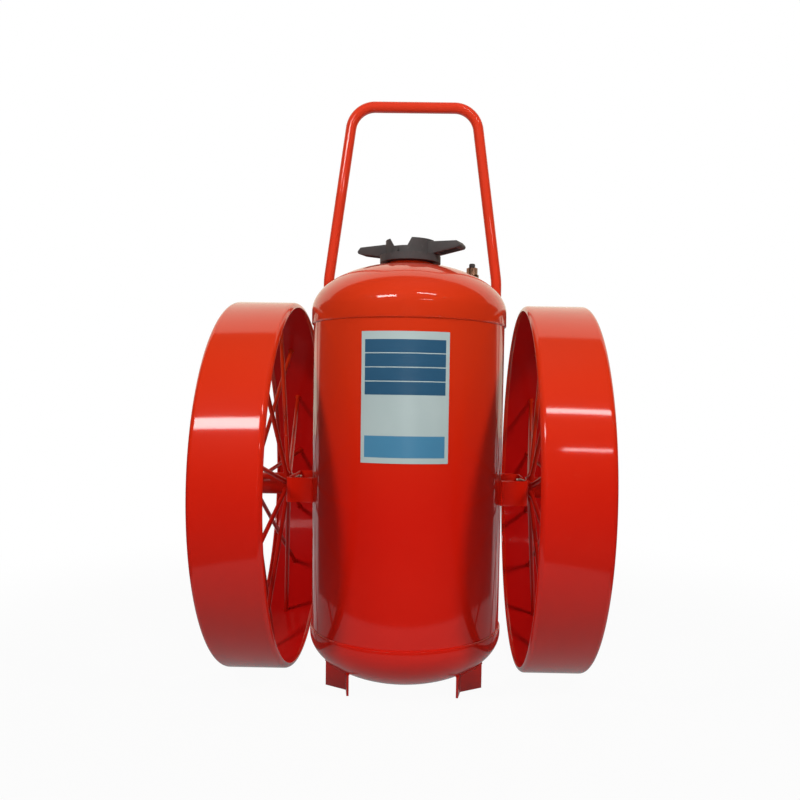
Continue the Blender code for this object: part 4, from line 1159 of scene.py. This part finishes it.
def make_regulator():
    """Turned regulator with grip rings, and the gauge with its case, white dial and marks."""
    low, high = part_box("regulator")
    centre = Vector((low.x, middle("regulator").y, middle("regulator").z))
    step = (high.x - low.x) / 4
    rim = REGULATOR_RADIUS
    groove = REGULATOR_GROOVE
    outline = [(0, 0), (REGULATOR_COLLAR, 0), (REGULATOR_COLLAR, step), (rim, step)]
    for ring in range(GRIP_RINGS):
        start = step + GRIP_START + ring * GRIP_PITCH
        outline += [(rim, start), (groove, start + GRIP_STEP), (groove, start + 2 * GRIP_STEP),
                    (rim, start + 3 * GRIP_STEP)]
    outline += [(rim, 2 * step), (REGULATOR_WAIST, 2 * step), (REGULATOR_NOSE, 4 * step), (0, 4 * step)]
    body = lathe("pressure_regulator", outline, centre, X, THIN_EDGE)
    dress(body, BRASS, "regulator")

    low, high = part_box("gauge_case")
    centre = Vector((middle("gauge_case").x, low.y, middle("gauge_case").z))
    front = high.y - low.y
    outline = [(0, 0), (GAUGE_STEM, 0)] + [(radius, front + depth) for radius, depth in GAUGE_PROFILE]
    dress(lathe("gauge_body", outline, centre, Y, HAIR_EDGE), STEEL, "gauge_case")
    face = front + GAUGE_FLOOR + DIAL_LIFT
    outline = oblong(0, DIAL_RADIUS, face - 4 * DIAL_LIFT, face + 2 * DIAL_LIFT)
    dress(lathe("gauge_dial", outline, centre, Y), DIAL)
    seat = centre + Y * (face + MARK_LIFT)
    marks = []
    for index in range(DIAL_MARKS):
        angle = math.radians(DIAL_START + DIAL_SWEEP * index / (DIAL_MARKS - 1))
        out = Vector((math.cos(angle), 0, math.sin(angle)))
        across = Vector((-math.sin(angle), 0, math.cos(angle))) * MARK_HALF
        inner = seat + out * (MARK_SHORT if index % 2 else MARK_LONG)
        outer = seat + out * MARK_OUTER
        corners = [inner - across, outer - across, outer + across, inner + across]
        marks.append(prism("dial_mark", corners, Y * MARK_THICKNESS))
    dress(joined("dial_marks", marks), INK)


def make_plumbing():
    """Gas line with its nuts, the two bosses on the wall and the bent powder outlet."""
    low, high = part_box("gas_line")
    turn = low.y + LINE_STANDOFF
    upper, lower = high.z - LINE_RADIUS, low.z + LINE_RADIUS
    near, far = low.x + LINE_RADIUS, high.x - LINE_RADIUS
    route = [Vector((near, high.y, upper)), Vector((near, turn, upper)), Vector((far, turn, upper)),
             Vector((far, turn, lower)), Vector((far, low.y, lower))]
    pieces = [tube("gas_tube", rounded_path(route, LINE_BEND), LINE_RADIUS)]
    for name, seat, along in (("upper_nut", route[0], -Y), ("lower_nut", route[-1], Y)):
        pieces.append(hexagon(name, seat, along, LINE_HEX, LINE_HEX_HEIGHT, TURNED_EDGE))
    dress(joined("gas_pipe", pieces), STEEL, "gas_line")

    for node, name, bore in (("gas_inlet_boss", "inlet_boss", INLET_BORE),
                             ("outlet_boss", "powder_outlet_boss", OUTLET_BORE)):
        low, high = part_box(node)
        centre = Vector((middle(node).x, 0, middle(node).z))
        outline = oblong(bore, half_size(node).z, low.y - BOSS_SINK, high.y)
        dress(lathe(name, outline, centre, Y, PLATE_EDGE), STEEL, node)

    low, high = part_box("outlet_elbow")
    x = middle("outlet_elbow").x
    level = high.z - OUTLET_RADIUS
    mouth = high.y - OUTLET_RADIUS
    route = [Vector((x, low.y, level)), Vector((x, mouth, level)), Vector((x, mouth, low.z))]
    elbow = tube("outlet_bend", rounded_path(route, OUTLET_BEND), OUTLET_RADIUS)
    inner = [route[0] - Y * OUTLET_EXCESS, route[1], route[2] - Z * OUTLET_EXCESS]
    cut(elbow, tube("outlet_bore", rounded_path(inner, OUTLET_BEND), OUTLET_RADIUS - OUTLET_WALL))
    dress(soften(elbow, FINE_EDGE), STEEL, "outlet_elbow")


def repaint():
    """Finishes for the solids that stay as they are."""
    for node, material in (("cap_gasket", RUBBER), ("gauge_lens", GLASS), ("gauge_needle", INK),
                           ("siphon_tube", STEEL), ("powder_charge", DIAL)):
        paint(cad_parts[node], material)


# Stage
def lay_floor():
    """White floor that keeps a soft shadow and fades into the white background."""
    deselect()
    bpy.ops.mesh.primitive_circle_add(vertices=FINE_STEPS, radius=FLOOR_RADIUS, fill_type="NGON")
    floor = bpy.context.object
    floor.name = "floor"
    material = bpy.data.materials.new("floor_white")
    material.use_nodes = True
    nodes = Nodes(material.node_tree)
    place = nodes.place()
    far = nodes.node("ShaderNodeVectorMath", {"operation": "LENGTH"}, {0: place}, "Value")
    camera, seen = nodes.rays()
    cloud = nodes.noise(place, 3.0, 2.0)
    tone = nodes.mix(cloud, (0.42, 0.41, 0.40), (0.45, 0.44, 0.43))
    matt = nodes.node("ShaderNodeBsdfPrincipled", {}, {"Base Color": tone, "Roughness": 0.9})
    axes = nodes.axes(place)
    depth = axes.out("Y")
    wedge = nodes.rise(depth - 0.9 * axes.math("ABSOLUTE", axes, 0), -0.7, -0.4)
    behind = nodes.rise(depth, -0.2, 0.4) * wedge
    near = nodes.rise(far, 1.18, 1.10)
    tone = nodes.mix(camera.top(behind * 0.6).top(near * 0.32), (0.03, 0.03, 0.03), (1, 1, 1))
    glow = nodes.node("ShaderNodeEmission", {}, {"Color": tone, "Strength": 1.0})
    share = seen * (0.955 + 0.045 * nodes.rise(far, 1.0, 2.4))
    blend = nodes.node("ShaderNodeMixShader", {}, {0: share, 1: matt, 2: glow})
    nodes.node("ShaderNodeOutputMaterial", {}, {"Surface": blend})
    floor.data.materials.append(material)


def light_world():
    """White room behind the object and a dim one in front, seen in reflections; soft grey for the rest."""
    world = bpy.data.worlds.new("studio")
    bpy.context.scene.world = world
    world.use_nodes = True
    nodes = Nodes(world.node_tree)
    camera, seen = nodes.rays()
    direction = nodes.node("ShaderNodeTexCoord", output="Generated")
    axes = nodes.axes(direction)
    behind = nodes.rise(axes.out("Y"), 0.28, 0.34)
    sideways = axes.math("ABSOLUTE", axes, 0) - 0.5 * axes.out("Z")
    window = behind * nodes.rise(sideways, 0.77, 0.69)
    room = nodes.mix(window, (0.026, 0.023, 0.022), (1, 0.94, 0.77))
    shown = nodes.mix(camera, room, (1, 1, 1))
    colour = nodes.mix(seen, (0.05, 0.05, 0.05), shown)
    shader = nodes.node("ShaderNodeBackground", {}, {"Color": colour, "Strength": 1.0})
    nodes.node("ShaderNodeOutputWorld", {}, {"Surface": shader})


def hang_lamp(name, place, aim, size, power, mirrored=False):
    """A rectangular lamp that lights the parts, or one that only shows as a mirrored window."""
    deselect()
    bpy.ops.object.light_add(type="AREA", location=place)
    lamp = bpy.context.object
    lamp.name = name
    lamp.data.shape = "RECTANGLE"
    lamp.data.size = size[0]
    lamp.data.size_y = size[1]
    lamp.data.energy = power
    lamp.visible_glossy = mirrored
    lamp.visible_diffuse = not mirrored
    lamp.rotation_euler = (Vector(aim) - Vector(place)).to_track_quat("-Z", "Y").to_euler()


def stand_camera():
    """The photograph's camera, its roll and its off-centre framing."""
    level = Vector((math.cos(CAMERA_YAW), -math.sin(CAMERA_YAW), 0))
    ahead = Z.cross(level) * math.cos(CAMERA_DOWN) - Z * math.sin(CAMERA_DOWN)
    upward = level.cross(ahead)
    right = level * math.cos(CAMERA_ROLL) + upward * math.sin(CAMERA_ROLL)
    up = upward * math.cos(CAMERA_ROLL) - level * math.sin(CAMERA_ROLL)
    deselect()
    bpy.ops.object.camera_add(location=CAMERA_PLACE)
    camera = bpy.context.object
    camera.rotation_euler = Matrix((right, up, -ahead)).transposed().to_euler()
    camera.data.sensor_width = SENSOR_WIDTH
    camera.data.lens = FOCAL_PIXELS * SENSOR_WIDTH / PHOTO_WIDTH
    camera.data.shift_x = (PHOTO_WIDTH / 2 - OPTICAL_CENTRE[0]) / PHOTO_WIDTH
    camera.data.shift_y = (OPTICAL_CENTRE[1] - PHOTO_WIDTH / 2) / PHOTO_WIDTH
    bpy.context.scene.camera = camera


make_tank()
make_label()
make_cap()
make_feet()
for wheel_name, wheel_side in SIDES:
    make_wheel(wheel_name, wheel_side)
    make_axle(wheel_name, wheel_side)
    make_bracket(wheel_name, wheel_side)
make_handle()
make_relief()
make_carrier()
make_cylinder()
make_valve()
make_regulator()
make_plumbing()
repaint()
lay_floor()
light_world()
hang_lamp("left_lamp", (-1.8, -1.9, 2.4), (0, -0.2, 0.7), (0.4, 0.4), 40)
hang_lamp("right_lamp", (1.8, -1.9, 2.4), (0, -0.2, 0.7), (0.4, 0.4), 42)
hang_lamp("fill_lamp", (0.08, -2.5, 0.8), (0, -0.2, 0.5), (0.6, 0.6), 13)
hang_lamp("top_lamp", (0.2, -0.5, 3.2), (0, -0.1, 0.8), (1.8, 1.2), 10)
hang_lamp("back_lamp", (0.5, 2.5, 1.9), (0, 0.2, 0.7), (0.9, 0.9), 34)
hang_lamp("left_window", (-1.22, -2.65, 2.60), (-1.22, -0.4, 0.8), (1.2, 0.36), 25, True)
hang_lamp("right_window", (0.98, -2.32, 3.10), (0.98, -0.4, 0.8), (1.1, 0.16), 9, True)
hang_lamp("low_window", (1.12, -3.14, 2.10), (1.12, -0.4, 0.7), (0.8, 0.08), 2.6, True)
stand_camera()
bpy.context.scene.view_settings.view_transform = "Standard"
deselect()
